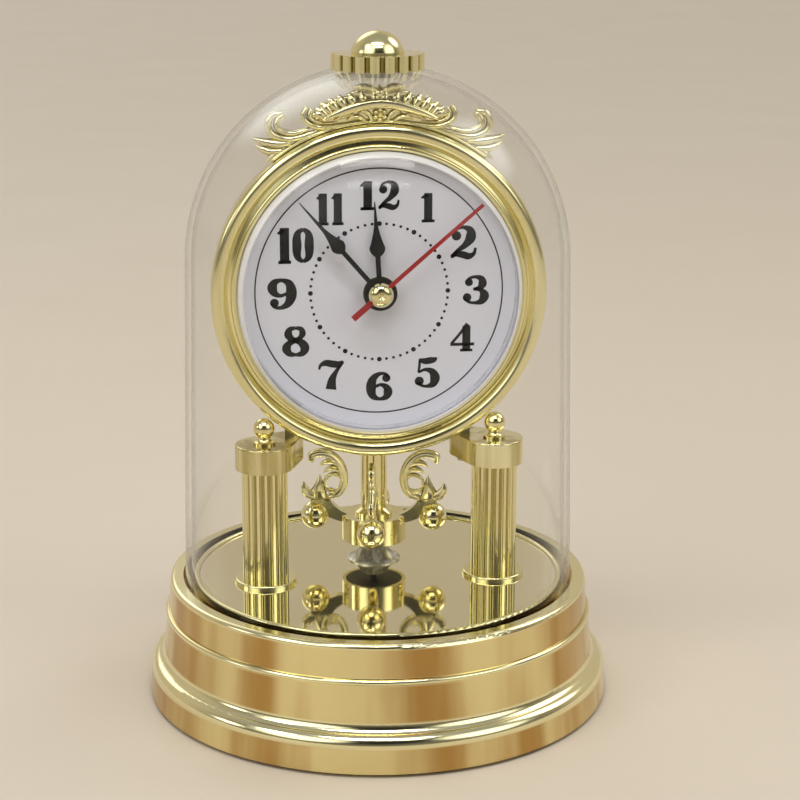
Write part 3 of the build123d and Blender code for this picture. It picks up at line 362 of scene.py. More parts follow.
@dataclass(frozen=True)
class Banded(Gold):
    """Plating in deeper bands with upright streaks of painted reflection, and a painted highlight on the
    rolls between them, by height in metres.
    """

    pale: Colour = (0.88, 0.82, 0.50)
    rolls: Tuple[Pair, ...] = ((0.0089, 0.0156), (0.0272, 0.0292), (0.0384, 0.0420))
    soft: float = 0.0004

    def tones(self, tree: Tree, clouds: Value) -> Value:
        """Lays the painted highlight tone over each roll's heights, with soft edges.

        Args:
            tree: the material's nodes.
            clouds: how much of the deeper tone there is.

        Returns:
            The colour.
        """
        height = tree.axes(tree.place())[2]
        colour = super().tones(tree, clouds)
        for low, high in self.rolls:
            above = height.step(low - self.soft, low + self.soft)
            below = 1.0 - height.step(high - self.soft, high + self.soft)
            colour = tree.blend(above * below, colour, self.pale)
        return colour


@dataclass(frozen=True)
class Carved(Gold):
    """Plating of relief work, with painted shade in the hollows between the strands."""

    shade: Colour = (0.28, 0.22, 0.06)
    rise: Pair = (0.06, 0.50)

    def tones(self, tree: Tree, clouds: Value) -> Value:
        """Mixes in the painted shade where the mesh's own height attribute is low."""
        high = tree.value("ShaderNodeAttribute", {"attribute_name": "high"}, output="Fac")
        return tree.blend(high.step(*self.rise), self.shade, super().tones(tree, clouds))


@dataclass(frozen=True)
class Plastic(Coating):
    """Moulded plastic with a sparked grain, paler where hands rub it."""

    clouds: Noise = Noise(50, edge=(0.50, 0.80))
    grain: Noise = Noise(3000)
    rough_clouds: float = -0.08
    rough_grain: float = 0.15
    bump: float = 0.25
    depth: float = 0.00008


@dataclass(frozen=True)
class Clear(Finish):
    """Clear moulded plastic: it shows what is behind it, shines at a slant and is grey at the very edge."""

    tint: Colour
    face_on: float
    edge_on: float
    rim: float = 0.0
    slant_power: float = 3.5
    rim_edge: Pair = (0.74, 0.97)
    smears: Noise = Noise(28, 4, edge=(0.45, 0.85))
    gloss: Tuple[Colour, Colour] = ((0.93, 0.94, 0.95), (0.86, 0.87, 0.88))
    grey: Tuple[Colour, Colour] = ((0.42, 0.41, 0.39), (0.36, 0.35, 0.33))

    def nodes(self, tree: Tree) -> Value:
        """The slant mixes a tinted see-through shader with a gloss and, at the very edge, with a grey line.

        Args:
            tree: the material's nodes.

        Returns:
            The shader.
        """
        seen = tree.value("ShaderNodeBsdfTransparent", inputs={"Color": (*self.tint, 1.0)})
        smears = tree.noise(self.smears)
        shine = tree.shader(Base_Color=tree.blend(smears, *self.gloss), Metallic=1.0,
                            Roughness=0.03 + smears * 0.05)
        slant = tree.value("ShaderNodeLayerWeight", inputs={"Blend": 0.5}, output="Facing")
        clear = tree.cover(self.face_on + slant ** self.slant_power * self.edge_on, seen, shine)
        line = tree.shader(Base_Color=tree.blend(smears, *self.grey), Roughness=0.3)
        return tree.cover(slant.step(*self.rim_edge) * self.rim, clear, line)


@dataclass(frozen=True)
class LensClear(Clear):
    """Clear lens with a painted reflection round its edge: a pale frosted white over its wall, by the
    distance from the dial's axis in metres.
    """

    axis_z: float = 0.0
    wall: Pair = (0.0434, 0.0442)
    frosted: float = 0.88
    frost: Tuple[Colour, Colour] = ((0.95, 0.94, 0.95), (0.92, 0.91, 0.92))
    grain: Noise = Noise(700, 2)

    def nodes(self, tree: Tree) -> Value:
        """Mixes the clear lens with a frosted white past the wall's radius, as a painted reflection.

        Args:
            tree: the material's nodes.

        Returns:
            The shader.
        """
        x, _, z = tree.axes(tree.place())
        high = z - self.axis_z
        radius = (x * x + high * high) ** 0.5
        white = tree.shader(Base_Color=tree.blend(tree.noise(self.grain), *self.frost), Roughness=0.40)
        return tree.cover(radius.step(*self.wall) * self.frosted, super().nodes(tree), white)


@dataclass(frozen=True)
class Winding(Finish):
    """Enamelled copper wire wound along X."""

    tone: Colour
    gap: Colour
    turns: float = 3500.0

    def nodes(self, tree: Tree) -> Value:
        """Bands along X are the turns: painted shade between them, high in the middle of each.

        Args:
            tree: the material's nodes.

        Returns:
            The shader.
        """
        settings = {"wave_type": "BANDS", "bands_direction": "X"}
        wire = tree.value("ShaderNodeTexWave", settings, {"Vector": tree.place(), "Scale": self.turns}, "Fac")
        return tree.shader(
            Base_Color=tree.blend(wire, self.gap, self.tone),
            Metallic=0.8,
            Roughness=0.30 + (1.0 - wire) * 0.3,
            Normal=tree.bump(wire, 0.5, 0.0001),
        )


@dataclass(frozen=True)
class Board(Finish):
    """Solder mask with paler tracks."""

    mask: Colour
    track: Colour
    cells: float = 320.0
    track_edge: Pair = (0.05, 0.09)

    def nodes(self, tree: Tree) -> Value:
        """Cell borders draw the tracks under the mask.

        Args:
            tree: the material's nodes.

        Returns:
            The shader.
        """
        inputs = {"Vector": tree.place(), "Scale": self.cells}
        cells = tree.value("ShaderNodeTexVoronoi", {"feature": "DISTANCE_TO_EDGE"}, inputs, "Distance")
        tracks = 1.0 - cells.step(*self.track_edge)
        return tree.shader(
            Base_Color=tree.blend(tracks, self.mask, self.track),
            Roughness=0.35 + tracks * 0.1,
            Normal=tree.bump(tracks, 0.4, 0.00005),
        )


@dataclass(frozen=True)
class Wrap(Finish):
    """Printed wrap of a cell: a dark body and a gold band at one end, by X in metres."""

    body: Colour
    band: Colour
    band_from: Pair = (0.0100, 0.0104)
    grain: Noise = Noise(2500, 2)

    def nodes(self, tree: Tree) -> Value:
        """The band lies where X passes a limit; fine noise breaks the gloss.

        Args:
            tree: the material's nodes.

        Returns:
            The shader.
        """
        band = tree.axes(tree.place())[0].step(*self.band_from)
        return tree.shader(
            Base_Color=tree.blend(band, self.body, self.band),
            Metallic=band * 0.6,
            Roughness=0.22 + tree.noise(self.grain) * 0.12,
        )


PLATING = ((0.90, 0.84, 0.50), (0.83, 0.75, 0.39))


class Look(Enum):
    """The finishes of clock and floor; the finish of one of the record's slots has the slot's name."""

    GOLD = Gold("gold_plated", *PLATING)
    # FLUTED and LOBED paint shade into the columns' flutes and into the hollows between the finial disc's
    # lobes.
    FLUTED = Fluted("fluted_gold", *PLATING)
    LOBED = Fluted("lobed_gold", *PLATING, axis=(0.0, 0.0), floor_r=LOBE_CREST - LOBE_DEPTH,
                   crest_r=LOBE_CREST, top=LOBE_TOP)
    # CARVED paints shade into the hollows of the relief.
    CARVED = Carved("carved_gold", (0.95, 0.90, 0.58), (0.89, 0.82, 0.46), 0.14)
    # The base's deep brown tone in upright streaks is a painted reflection of warm surroundings; its pale
    # rolls are painted highlights.
    BASE = Banded("base_gold", (0.82, 0.70, 0.36), (0.48, 0.29, 0.09), 0.09,
                  clouds=Noise(30, 4, (1, 1, 0.06), (0.40, 0.60)),
                  grain=Noise(900, 3, (1, 1, 0.06)))
    # The caps' upright streaks of a pale and a dark tone are painted reflections.
    CAP = Gold("cap_gold", (0.94, 0.89, 0.57), (0.55, 0.46, 0.18), 0.09,
               clouds=Noise(120, 4, (1, 1, 0.05), (0.40, 0.62)),
               grain=Noise(900, 3, (1, 1, 0.05)))
    BRASS = Gold("brass", (0.91, 0.84, 0.48), (0.84, 0.74, 0.36), 0.06)
    MIRROR = Coating("mirror", (0.88, 0.82, 0.57), (0.875, 0.8175, 0.5975), 0.035, metallic=1.0,
                     clouds=Noise(1600, 2, edge=(0.60, 0.80)), grain=Noise(30),
                     rough_clouds=0.10, rough_grain=0.035, depth=0.0)
    DOME = Clear("clear_dome", (0.975, 0.975, 0.97), 0.006, 0.70, 0.40)
    LENS = LensClear("clear_lens", (0.985, 0.985, 0.985), 0.004, 0.22, axis_z=DIAL_Z)
    DIAL = Coating("dial_white", (0.80, 0.81, 0.93), (0.78, 0.79, 0.90), 0.30, 0.15)
    INK = Coating("dial_ink", (0.003, 0.003, 0.003), (0.005, 0.005, 0.006), 0.60)
    HAND = Coating("hand_black", (0.004, 0.004, 0.004), (0.007, 0.007, 0.008), 0.45, 0.05)
    RED = Coating("hand_red", (0.42, 0.015, 0.020), (0.34, 0.010, 0.015), 0.35, 0.2)
    BLACK = Plastic("black_plastic", (0.018, 0.018, 0.019), (0.045, 0.045, 0.046), 0.42)
    IVORY = Plastic("wheel_plastic", (0.80, 0.78, 0.70), (0.72, 0.69, 0.60), 0.40)
    RUBBER = Plastic("rubber", (0.022, 0.022, 0.023), (0.050, 0.049, 0.048), 0.75)
    STEEL = Coating("steel", (0.62, 0.62, 0.62), (0.465, 0.465, 0.465), 0.25, metallic=1.0,
                    clouds=Noise(1500, 3, (1, 0.06, 1)), grain=Noise(1500, 3, (1, 0.06, 1)),
                    rough_grain=0.20, bump=0.15, depth=0.00005)
    # The guide bell's upright streaks of a pale and a dark tone are painted reflections.
    NICKEL = Coating("satin_nickel", (0.88, 0.85, 0.74), (0.42, 0.39, 0.29), 0.16, metallic=0.45,
                     clouds=Noise(450, 2, (1, 1, 0.03), (0.38, 0.62)),
                     grain=Noise(450, 2, (1, 1, 0.03)), rough_grain=0.15, depth=0.0)
    COPPER = Winding("copper", (0.66, 0.27, 0.11), (0.18, 0.06, 0.03))
    GREEN = Board("board_green", (0.020, 0.110, 0.045), (0.060, 0.230, 0.090))
    CELL = Wrap("battery_wrap", (0.020, 0.020, 0.022), (0.75, 0.55, 0.22))
    FLOOR = Coating("floor", (0.68, 0.60, 0.50), (0.65, 0.57, 0.47), 0.55, clouds=Noise(9, 4),
                    grain=Noise(9, 4), depth=0.0)


SLOT_LOOKS: Dict[str, Look] = {look.value.name: look for look in Look}
OWN_LOOKS: Dict[str, Look] = {
    "base_shell": Look.BASE, "guide_bell": Look.NICKEL, "finial_disc": Look.LOBED,
    "column_left": Look.FLUTED, "column_right": Look.FLUTED,
    "column_cap_left": Look.CAP, "column_cap_right": Look.CAP,
}


def smooth(knots: Knots, samples: int) -> np.ndarray:
    """A curve through knots: cubic between each two, its slope at a knot that of the chord round it.

    Args:
        knots: rows of two coordinates and any other values that change along the curve.
        samples: rows wanted.

    Returns:
        The rows along the curve, evenly spaced by chord length.
    """
    rows = np.asarray(knots, float)
    chords = np.linalg.norm(np.diff(rows[:, :2], axis=0), axis=1)
    along = np.concatenate([[0.0], np.cumsum(chords)])
    slopes = np.gradient(rows, along, axis=0)
    spots = np.linspace(0.0, along[-1], samples)
    left = np.clip(np.searchsorted(along, spots) - 1, 0, len(rows) - 2)
    span = (along[left + 1] - along[left])[:, None]
    x = (spots - along[left])[:, None] / span
    start = (1 + 2 * x) * (1 - x) ** 2 * rows[left] + x * (1 - x) ** 2 * span * slopes[left]
    end = x ** 2 * (3 - 2 * x) * rows[left + 1] + x ** 2 * (x - 1) * span * slopes[left + 1]
    return start + end


def sideways(path: np.ndarray) -> Tuple[np.ndarray, np.ndarray]:
    """Unit directions of a flat path.

    Args:
        path: rows of two coordinates.

    Returns:
        The directions along it and to its left.
    """
    along = np.gradient(path, axis=0)
    along /= np.linalg.norm(along, axis=1, keepdims=True)
    return along, np.stack([-along[:, 1], along[:, 0]], axis=1)


@dataclass
class Skin:
    """Gathers surfaces, given as whole arrays of points in millimetres, into one mesh."""

    points: List[np.ndarray] = field(default_factory=list)
    faces: List[np.ndarray] = field(default_factory=list)
    heights: List[np.ndarray] = field(default_factory=list)
    count: int = 0

    def grid(self, points: np.ndarray, ring: bool = False, high: Union[float, np.ndarray] = 1.0) -> None:
        """Adds a grid of four-sided faces.

        Args:
            points: array of rows, columns and three coordinates.
            ring: whether each row closes on itself.
            high: how far each point stands out of the relief's hollows, from 0 to 1.
        """
        rows, columns = points.shape[:2]
        a, b = np.meshgrid(np.arange(rows - 1), np.arange(columns if ring else columns - 1), indexing="ij")
        c, d = a + 1, (b + 1) % columns
        corners = [a * columns + b, c * columns + b, c * columns + d, a * columns + d]
        self.faces.append(np.stack(corners, axis=-1).reshape(-1, 4) + self.count)
        self.points.append(points.reshape(-1, 3))
        self.heights.append(np.broadcast_to(high, (rows, columns)).ravel())
        self.count += rows * columns

    def piece(self, name: str, body: str, slot: str, look: Look, plate: float = 0.0) -> bpy.types.Object:
        """Makes the mesh, merges its doubles and lets it ride on a body.

        Args:
            name: the piece's name.
            body: the CAD body that it moves with.
            slot: the record's material slot; not used.
            look: its finish.
            plate: thickness in millimetres given to a flat print, or 0.

        Returns:
            The finished object.
        """
        mesh = bpy.data.meshes.new(name)
        mesh.from_pydata(np.vstack(self.points) * MM, [], np.vstack(self.faces))
        mesh.attributes.new("high", "FLOAT", "POINT").data.foreach_set("value", np.concatenate(self.heights))
        shape = bmesh.new()
        shape.from_mesh(mesh)
        bmesh.ops.remove_doubles(shape, verts=shape.verts, dist=MERGE)
        bmesh.ops.recalc_face_normals(shape, faces=shape.faces)
        shape.to_mesh(mesh)
        shape.free()
        mesh.polygons.foreach_set("use_smooth", np.full(len(mesh.polygons), not plate))
        mesh.materials.append(look.value.material())
        made = add_object(name, mesh)
        if plate:
            thick = made.modifiers.new("print", "SOLIDIFY")
            thick.thickness = plate * MM
            thick.offset = 0.0
        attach(made, body)
        LOG.info("%s: %d faces on %s", name, len(mesh.polygons), body)
        return made


@dataclass
class Drawing:
    """An upright board to draw a skin on, in millimetres: u and w lie in it and depth stands out of it."""

    skin: Skin
    origin: Point
    along: Point
    out: Point

    def sheet(self, u: np.ndarray, w: np.ndarray, depth: Union[float, np.ndarray], ring: bool = False,
              high: Union[float, np.ndarray] = 1.0) -> None:
        """Adds a surface: its points are origin + u * along + w * (0, 0, 1) + depth * out.

        Args:
            u: distances along the board.
            w: distances up it.
            depth: distances out of it.
            ring: as in the skin's grid.
            high: as in the skin's grid.
        """
        axes = np.array([self.along, (0, 0, 1), self.out], float)
        points = np.asarray(self.origin) + np.stack(np.broadcast_arrays(u, w, depth), axis=-1) @ axes
        self.skin.grid(points, ring, high)

    def strand(self, knots: Knots, groove: float = 0.0, ridge: float = 1.0, lift: float = 0.0,
               samples: int = 44, sides: int = ROUND) -> None:
        """Adds a carved strand with rounded ends.

        An oval section is carried along a curve: across it u is half_width * cos(a), out of the board
        it is half_depth * sin(a) to a power, less a groove that is deepest in the middle of the front.
        Past each end the section shrinks by the cosine of a bend while it moves on by its sine.

        Args:
            knots: rows of u, w, half width and half depth.
            groove: share of the depth that the groove takes.
            ridge: power of the section; over 1 makes a sharp ridge, under 1 a full roll.
            lift: distance of the strand's middle out of the board.
            samples: rows along the curve.
            sides: points round the section.
        """
        rows = smooth(knots, samples)
        path, size = rows[:, :2], np.maximum(rows[:, 2:4], LEAST)
        along, left = sideways(path)
        bend = np.radians(CAP_BENDS)[:, None]
        start = path[0] - along[0] * size[0, 0] * np.sin(bend)
        end = path[-1] + along[-1] * size[-1, 0] * np.sin(bend[::-1])
        middle = np.vstack([start, path, end])
        across = np.pad(left, ((len(bend), len(bend)), (0, 0)), mode="edge")
        half = np.vstack([size[0] * np.cos(bend), size, size[-1] * np.cos(bend[::-1])])
        angle = np.linspace(0.0, 2 * np.pi, sides, endpoint=False)
        wide = np.cos(angle)
        high = np.sign(np.sin(angle)) * np.abs(np.sin(angle)) ** ridge * (1 - groove * np.sin(angle) ** 6)
        u = middle[:, :1] + across[:, :1] * half[:, :1] * wide
        w = middle[:, 1:] + across[:, 1:] * half[:, :1] * wide
        self.sheet(u, w, lift + half[:, 1:] * high, True, np.abs(high))

    def bead(self, u: float, w: float, radius: float, high: float, lift: float) -> None:
        """Adds a flattened ball: circles of latitude of radius cos(b) at height sin(b), from pole to pole.

        Args:
            u: its middle along the board.
            w: its middle up the board.
            radius: its radius in the board.
            high: its half height out of the board.
            lift: its middle's distance out of the board.
        """
        tilt = np.linspace(-np.pi / 2, np.pi / 2, BALL_ROWS)[:, None]
        turn = np.linspace(0.0, 2 * np.pi, ROUND, endpoint=False)
        circle = radius * np.cos(tilt)
        self.sheet(u + circle * np.cos(turn), w + circle * np.sin(turn), lift + high * np.sin(tilt), True,
                   np.abs(np.sin(tilt)))

    def ribbon(self, knots: Knots) -> None:
        """Adds a flat stroke: half its width to each side of a curve.

        Args:
            knots: rows of u, w and width.
        """
        rows = smooth(knots, STROKE_ROWS)
        _, left = sideways(rows[:, :2])
        side = np.array([0.5, -0.5])
        u = rows[:, :1] + left[:, :1] * rows[:, 2:3] * side
        w = rows[:, 1:2] + left[:, 1:] * rows[:, 2:3] * side
        self.sheet(u, w, 0.0)

    def dot(self, u: float, w: float, radius: float) -> None:
        """Adds a flat round dot: a ring of points at the edge and one in the middle.

        Args:
            u: its middle along the board.
            w: its middle up the board.
            radius: its radius.
        """
        turn = np.linspace(0.0, 2 * np.pi, ROUND, endpoint=False)
        reach = np.array([[0.0], [radius]])
        self.sheet(u + reach * np.cos(turn), w + reach * np.sin(turn), 0.0, True)


NUMERAL_HIGH = 100


class Numeral(Enum):
    """Fat-faced numerals a hundred units high: strokes of u, w and width, then balls of u, w and radius."""

    ZERO = (
        (((0, 95.5, 9), (-17, 86, 16), (-23.5, 50, 25), (-17, 14, 16), (0, 4.5, 9)),
         ((0, 95.5, 9), (17, 86, 16), (23.5, 50, 25), (17, 14, 16), (0, 4.5, 9))),
        (),
    )
    ONE = (
        (((2, 0, 25), (2, 50, 25), (2, 99, 25)),
         ((-25, 83, 5), (-12, 87.5, 11), (0, 93, 13)),
         ((-23, 4.5, 9), (2, 4.5, 9), (27, 4.5, 9))),
        (),
    )
    TWO = (
        (((-27, 70, 9), (-20, 88, 8), (2, 95.5, 9), (20, 86, 19), (22.5, 68, 25), (8, 43, 16),
          (-14, 25, 10), (-31, 6, 10)),
         ((-33, 4, 5), (-20, 14, 12), (0, 12.5, 17), (17, 7.5, 16), (30, 14, 10), (36, 33, 6))),
        ((-18, 70, 12),),
    )
    THREE = (
        (((-28, 76, 8), (-18, 90, 8), (0, 95.5, 9), (18, 87, 18), (21, 72, 23), (12, 57, 14),
          (-6, 52.5, 7)),
         ((-6, 52.5, 7), (16, 49, 12), (26.5, 30, 26), (19, 11, 19), (0, 4.5, 9), (-20, 9, 8),
          (-33, 25, 8))),
        ((-19, 77, 11.5), (-24, 24, 12.5)),
    )
    FOUR = (
        (((14, 0, 24), (14, 50, 24), (14, 92, 24)),
         ((18, 98.5, 12), (-10, 62, 8), (-39, 27, 9)),
         ((-42, 25.5, 9), (0, 25.5, 9), (42, 25.5, 9)),
         ((-8, 4, 8), (14, 4, 8), (36, 4, 8))),
        (),
    )
    FIVE = (
        (((-23, 93, 9), (-8, 88, 16), (10, 90, 18), (24, 93, 13), (31, 99, 5)),
         ((-22, 96, 7), (-23.5, 75, 7), (-26, 50, 7)),
         ((-26, 51, 6), (-6, 60, 9), (16, 53, 18), (25.5, 32, 26), (18, 11, 19), (0, 4.5, 9), (-19, 8.5, 8),
          (-33, 23, 8))),
        ((-24, 22, 12.5),),
    )
    SIX = (
        (((28, 80, 7), (20, 92, 8), (6, 95.5, 9), (-14, 82, 18), (-23, 50, 26), (-16, 14, 18), (2, 4.5, 9),
          (20, 13, 18), (25, 30, 24), (19, 47, 17), (4, 55.5, 9), (-12, 48, 8)),),
        ((20, 79, 12),),
    )
    SEVEN = (
        (((-37, 70, 5), (-32, 84, 9), (-18, 92, 16), (2, 88.5, 19), (20, 87, 17), (35, 97, 6)),
         ((35, 95, 7), (14, 62, 11), (2, 34, 20), (-2, 0, 29))),
        (),
    )
    EIGHT = (
        (((0, 96, 8), (-15, 90, 14), (-19, 75, 20), (-12, 60, 16), (0, 53.5, 13), (17, 43, 20),
          (24, 27, 22), (17, 10, 16), (0, 4, 8)),
         ((0, 96, 8), (15, 90, 13), (18, 76, 16), (12, 63, 12), (0, 53.5, 12), (-17, 43, 16), (-24, 27, 22),
          (-17, 10, 16), (0, 4, 8))),
        (),
    )
    # A nine is a six upside down.
    NINE = (
        (tuple((-u, NUMERAL_HIGH - w, width) for u, w, width in SIX[0][0]),),
        tuple((-u, NUMERAL_HIGH - w, radius) for u, w, radius in SIX[1]),
    )


@dataclass
class Dial:
    """Print on the dial: numerals, a fine ring and sixty dots, as sizes in millimetres."""

    numeral_r: float = 31.0
    ring_r: float = 39.6
    ring_w: float = 0.45
    ring_rows: int = 181
    dots_r: float = 22.0
    dot: float = 0.46
    five_dot: float = 0.78
    print_t: float = 0.03
    boldness: float = 1.2
    digit_gap: float = 6.0
    heights: Tuple[float, ...] = (9.4, 10.6, 9.3, 9.2, 10.0, 9.3, 9.5, 9.7, 9.8, 11.6, 10.2, 9.2)
    widths: Tuple[float, ...] = (4.9, 8.6, 8.4, 8.6, 7.8, 8.4, 8.5, 8.6, 9.2, 11.2, 9.0, 12.8)

    def numeral(self, board: Drawing, hour: int) -> None:
        """Draws an hour's digits side by side, stretched to its width and height, round its place.

        Args:
            board: where the strokes go.
            hour: 1 to 12.
        """
        turn = math.radians(90 - 30 * hour)
        at_u, at_w = self.numeral_r * math.cos(turn), self.numeral_r * math.sin(turn)
        signs = [tuple(Numeral)[int(digit)].value for digit in str(hour)]
        spans = [(min(u - t / 2 for stroke in strokes for u, _, t in stroke),
                  max(u + t / 2 for stroke in strokes for u, _, t in stroke)) for strokes, _ in signs]
        total = sum(right - left for left, right in spans) + self.digit_gap * (len(signs) - 1)
        across, up = self.widths[hour - 1] / total, self.heights[hour - 1] / NUMERAL_HIGH
        thick = self.boldness * (across + up) / 2
        start = -total / 2
        for (strokes, balls), (left, right) in zip(signs, spans):
            first_u, first_w = at_u + (start - left) * across, at_w - up * NUMERAL_HIGH / 2
            for stroke in strokes:
                knots = [(first_u + u * across, first_w + w * up, t * thick) for u, w, t in stroke]
                board.ribbon(knots)
            for u, w, radius in balls:
                board.dot(first_u + u * across, first_w + w * up, radius * self.boldness * up)
            start += right - left + self.digit_gap

    def build(self) -> None:
        """Prints the numerals, the ring and the dots."""
        low, high = in_mm(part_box("dial"))
        middle = (0.0, low[1] - self.print_t / 2, (low[2] + high[2]) / 2)
        numerals, marks = (Drawing(Skin(), middle, (1, 0, 0), (0, -1, 0)) for _ in range(2))
        for hour in range(1, 13):
            self.numeral(numerals, hour)
        numerals.skin.piece("dial_numerals", "base", "hand_black", Look.INK, self.print_t)
        for minute in range(60):
            turn = math.pi * minute / 30
            size = self.dot if minute % 5 else self.five_dot
            marks.dot(self.dots_r * math.sin(turn), self.dots_r * math.cos(turn), size)
        round_turn = np.linspace(0.0, 2 * np.pi, self.ring_rows)[:, None]
        radius = self.ring_r + np.array([0.5, -0.5]) * self.ring_w
        marks.sheet(radius * np.sin(round_turn), radius * np.cos(round_turn), 0.0)
        marks.skin.piece("dial_marks", "base", "hand_black", Look.INK, self.print_t)


@dataclass
class Crest:
    """Scrolls, shell and leaves over the bezel, in millimetres from the dial's axis; one half is mirrored."""

    feathers: int = 8
    feather: Knots = ((0, 1, 1.5), (0.35, 1.35, 1.7), (0.7, 1.45, 1.5), (1, 1, 1))
    feather_bow: Pair = (-1.0, 1.8)
    root_share: float = 0.84
    root_lift: float = 0.3
    shell_half: float = 20.4
    shell_foot: float = 56.0
    shell_rise: float = 7.4
    shell_power: float = 2.6
    shell_gap: float = 0.6
    shell_front: Pair = (0.1, 0.9)
    shell_back: float = -1.5
    shell_columns: int = 61
    shell_rows: int = 14
    inset: float = 0.5
    arch_half: float = 17.6
    arch_top: float = 60.1
    arch_fall: float = 4.9
    arch_power: float = 1.7
    roll_knots: int = 13
    roll_width: Pair = (0.7, 0.9)
    roll_depth: float = 1.8
    band_arc: Pair = (52.0, 128.0)
    band_share: float = 1.013
    band_half: Pair = (0.7, 1.6)
    flower_w: float = 56.5
    flower: Tuple[float, ...] = (1.0, 2.4, 0.9)
    petals: int = 6
    petal_r: float = 1.6
    petal: Tuple[float, ...] = (0.95, 1.8, 0.8)
    # The outer hook and its lining, then the inner ones.
    hooks: Sequence[Knots] = (
        ((-31, 57, 1.1, 1.5), (-33, 56.7, 1.15, 1.7), (-34.4, 55.3, 1.15, 1.8), (-34.7, 53.1, 1.15, 1.8),
         (-33.7, 51, 1.15, 1.8), (-31.6, 49.7, 1.15, 1.8), (-28.9, 49.2, 1.1, 1.7), (-25.4, 49.6, 1, 1.6),
         (-22, 50.6, 0.9, 1.5), (-18.6, 51.9, 0.6, 1.1)),
        ((-30.5, 56.2, 1, 1.5), (-31.7, 55.2, 1, 1.8), (-32.2, 53.7, 1, 2), (-31.5, 52.2, 1, 2),
         (-29.7, 51.3, 1, 2), (-27.2, 51, 0.95, 1.9), (-24.4, 51.5, 0.8, 1.6), (-21.4, 52.6, 0.25, 0.8)),
        ((-22.9, 58.5, 0.8, 1.4), (-23.7, 57, 0.9, 1.7), (-23.5, 55.3, 0.95, 1.8), (-22.2, 53.9, 0.95, 1.9),
         (-20, 53, 0.95, 1.9), (-16.4, 52.6, 0.9, 1.8), (-12, 53.3, 0.6, 1.4), (-9, 54, 0.25, 0.8)),
        ((-21.5, 58, 0.6, 1.4), (-22, 56.6, 0.7, 1.8), (-21.3, 55.3, 0.7, 2), (-19.4, 54.4, 0.7, 2),
         (-16.4, 54, 0.6, 1.7), (-13, 54.5, 0.25, 0.9)))
    blades: Sequence[Knots] = (
        ((-28.6, 47.8, 1, 1.4), (-32, 47.7, 1.5, 1.7), (-35.5, 48.2, 1.3, 1.4), (-38.2, 49.1, 0.7, 0.8),
         (-39.8, 49.8, 0.1, 0.3)),
        ((-31, 45.6, 0.9, 1.3), (-34, 45.3, 1.3, 1.5), (-36.6, 46.1, 1, 1), (-38.7, 47.4, 0.1, 0.3)),
        ((-31, 45.4, 0.8, 1.1), (-33.4, 43.9, 1.1, 1.1), (-35.6, 42.2, 0.2, 0.4)))
    crown_leaves: Sequence[Knots] = (
        ((-0.6, 63, 0.8, 1.4), (-3, 64.6, 1.1, 1.7), (-6, 65, 0.9, 1.4), (-8.2, 64.6, 0.2, 0.5)),
        ((-1, 62.2, 0.9, 1.4), (-4.5, 62.9, 1.2, 1.8), (-8, 63, 0.9, 1.4), (-10.2, 62.4, 0.2, 0.5)))
    bud: Knots = ((0, 61.4, 1.1, 1.8), (0, 63.2, 1.7, 2.2), (0, 64.6, 1.1, 1.5), (0, 65.6, 0.2, 0.3))
    small_leaves: Sequence[Knots] = (
        ((-2.4, 54.7, 0.5, 1.5), (-3.4, 56.6, 0.9, 2), (-5.2, 57.6, 0.8, 1.8), (-6.8, 57, 0.3, 1)),
        ((-4.6, 54.6, 0.5, 1.5), (-6.4, 55.6, 0.9, 2), (-8.6, 55.8, 0.8, 1.8), (-10.2, 54.9, 0.3, 1)),
        ((-8.4, 56.6, 0.4, 1.4), (-10.6, 56.4, 0.8, 1.8), (-12.8, 55.6, 0.7, 1.6), (-14.4, 54.9, 0.2, 0.8)))

    def __post_init__(self) -> None:
        """Puts the drawing boards, one for each half, in the crest's middle plane."""
        (_, front, _), (_, back, _) = in_mm(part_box("crest"))
        low, high = in_mm(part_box("bezel"))
        self.bezel_r = (high[0] - low[0]) / 2
        middle = (0.0, (front + back) / 2, (low[2] + high[2]) / 2)
        self.skin = Skin()
        self.halves = [Drawing(self.skin, middle, (side, 0, 0), (0, -1, 0)) for side in (1, -1)]

    def border(self, u: np.ndarray) -> np.ndarray:
        """The shell's upper border: foot + rise * sqrt(1 - |u / half| ^ power)."""
        fall = np.abs(u / self.shell_half) ** self.shell_power
        return self.shell_foot + self.shell_rise * np.sqrt(np.maximum(1 - fall, 0.0))

    def arch(self, u: np.ndarray) -> np.ndarray:
        """The middle of the arched roll: top - fall * |u / half| ^ power."""
        return self.arch_top - self.arch_fall * np.abs(u / self.arch_half) ** self.arch_power

    def shell(self) -> None:
        """Adds the shell: a backing plate, an arched roll over it and feathers that fan out to its border.

        The plate fills the height between the bezel and the border, its front swelling as a half sine.
        """
        board = self.halves[0]
        u = self.shell_half * np.linspace(-1.0, 1.0, self.shell_columns)[:, None]
        foot = np.sqrt((self.bezel_r + self.shell_gap) ** 2 - u ** 2)
        top = np.maximum(self.border(u) - self.inset, foot + LEAST)
        rise = np.linspace(0.0, 1.0, self.shell_rows)
        share = np.concatenate([rise, rise[-2:0:-1]])
        front = np.arange(len(share)) < len(rise)
        flat, full = self.shell_front
        swell = np.where(front, flat + full * np.sin(np.pi * share), self.shell_back)
        board.sheet(u, foot + (top - foot) * share, swell, ring=True, high=0.5)
        x = np.linspace(-1.0, 1.0, self.roll_knots)
        at = x * self.arch_half
        thin, thick = self.roll_width
        wide = thin + thick * (1 - np.abs(x) ** 3)
        roll = np.stack([at, self.arch(at), wide, np.full_like(x, self.roll_depth)], axis=1)
        board.strand(roll, ridge=0.8, lift=1.6, samples=80)
        for half in self.halves:
            for place in (np.arange(self.feathers) + 0.4) / self.feathers:
                self.fan(half, place)

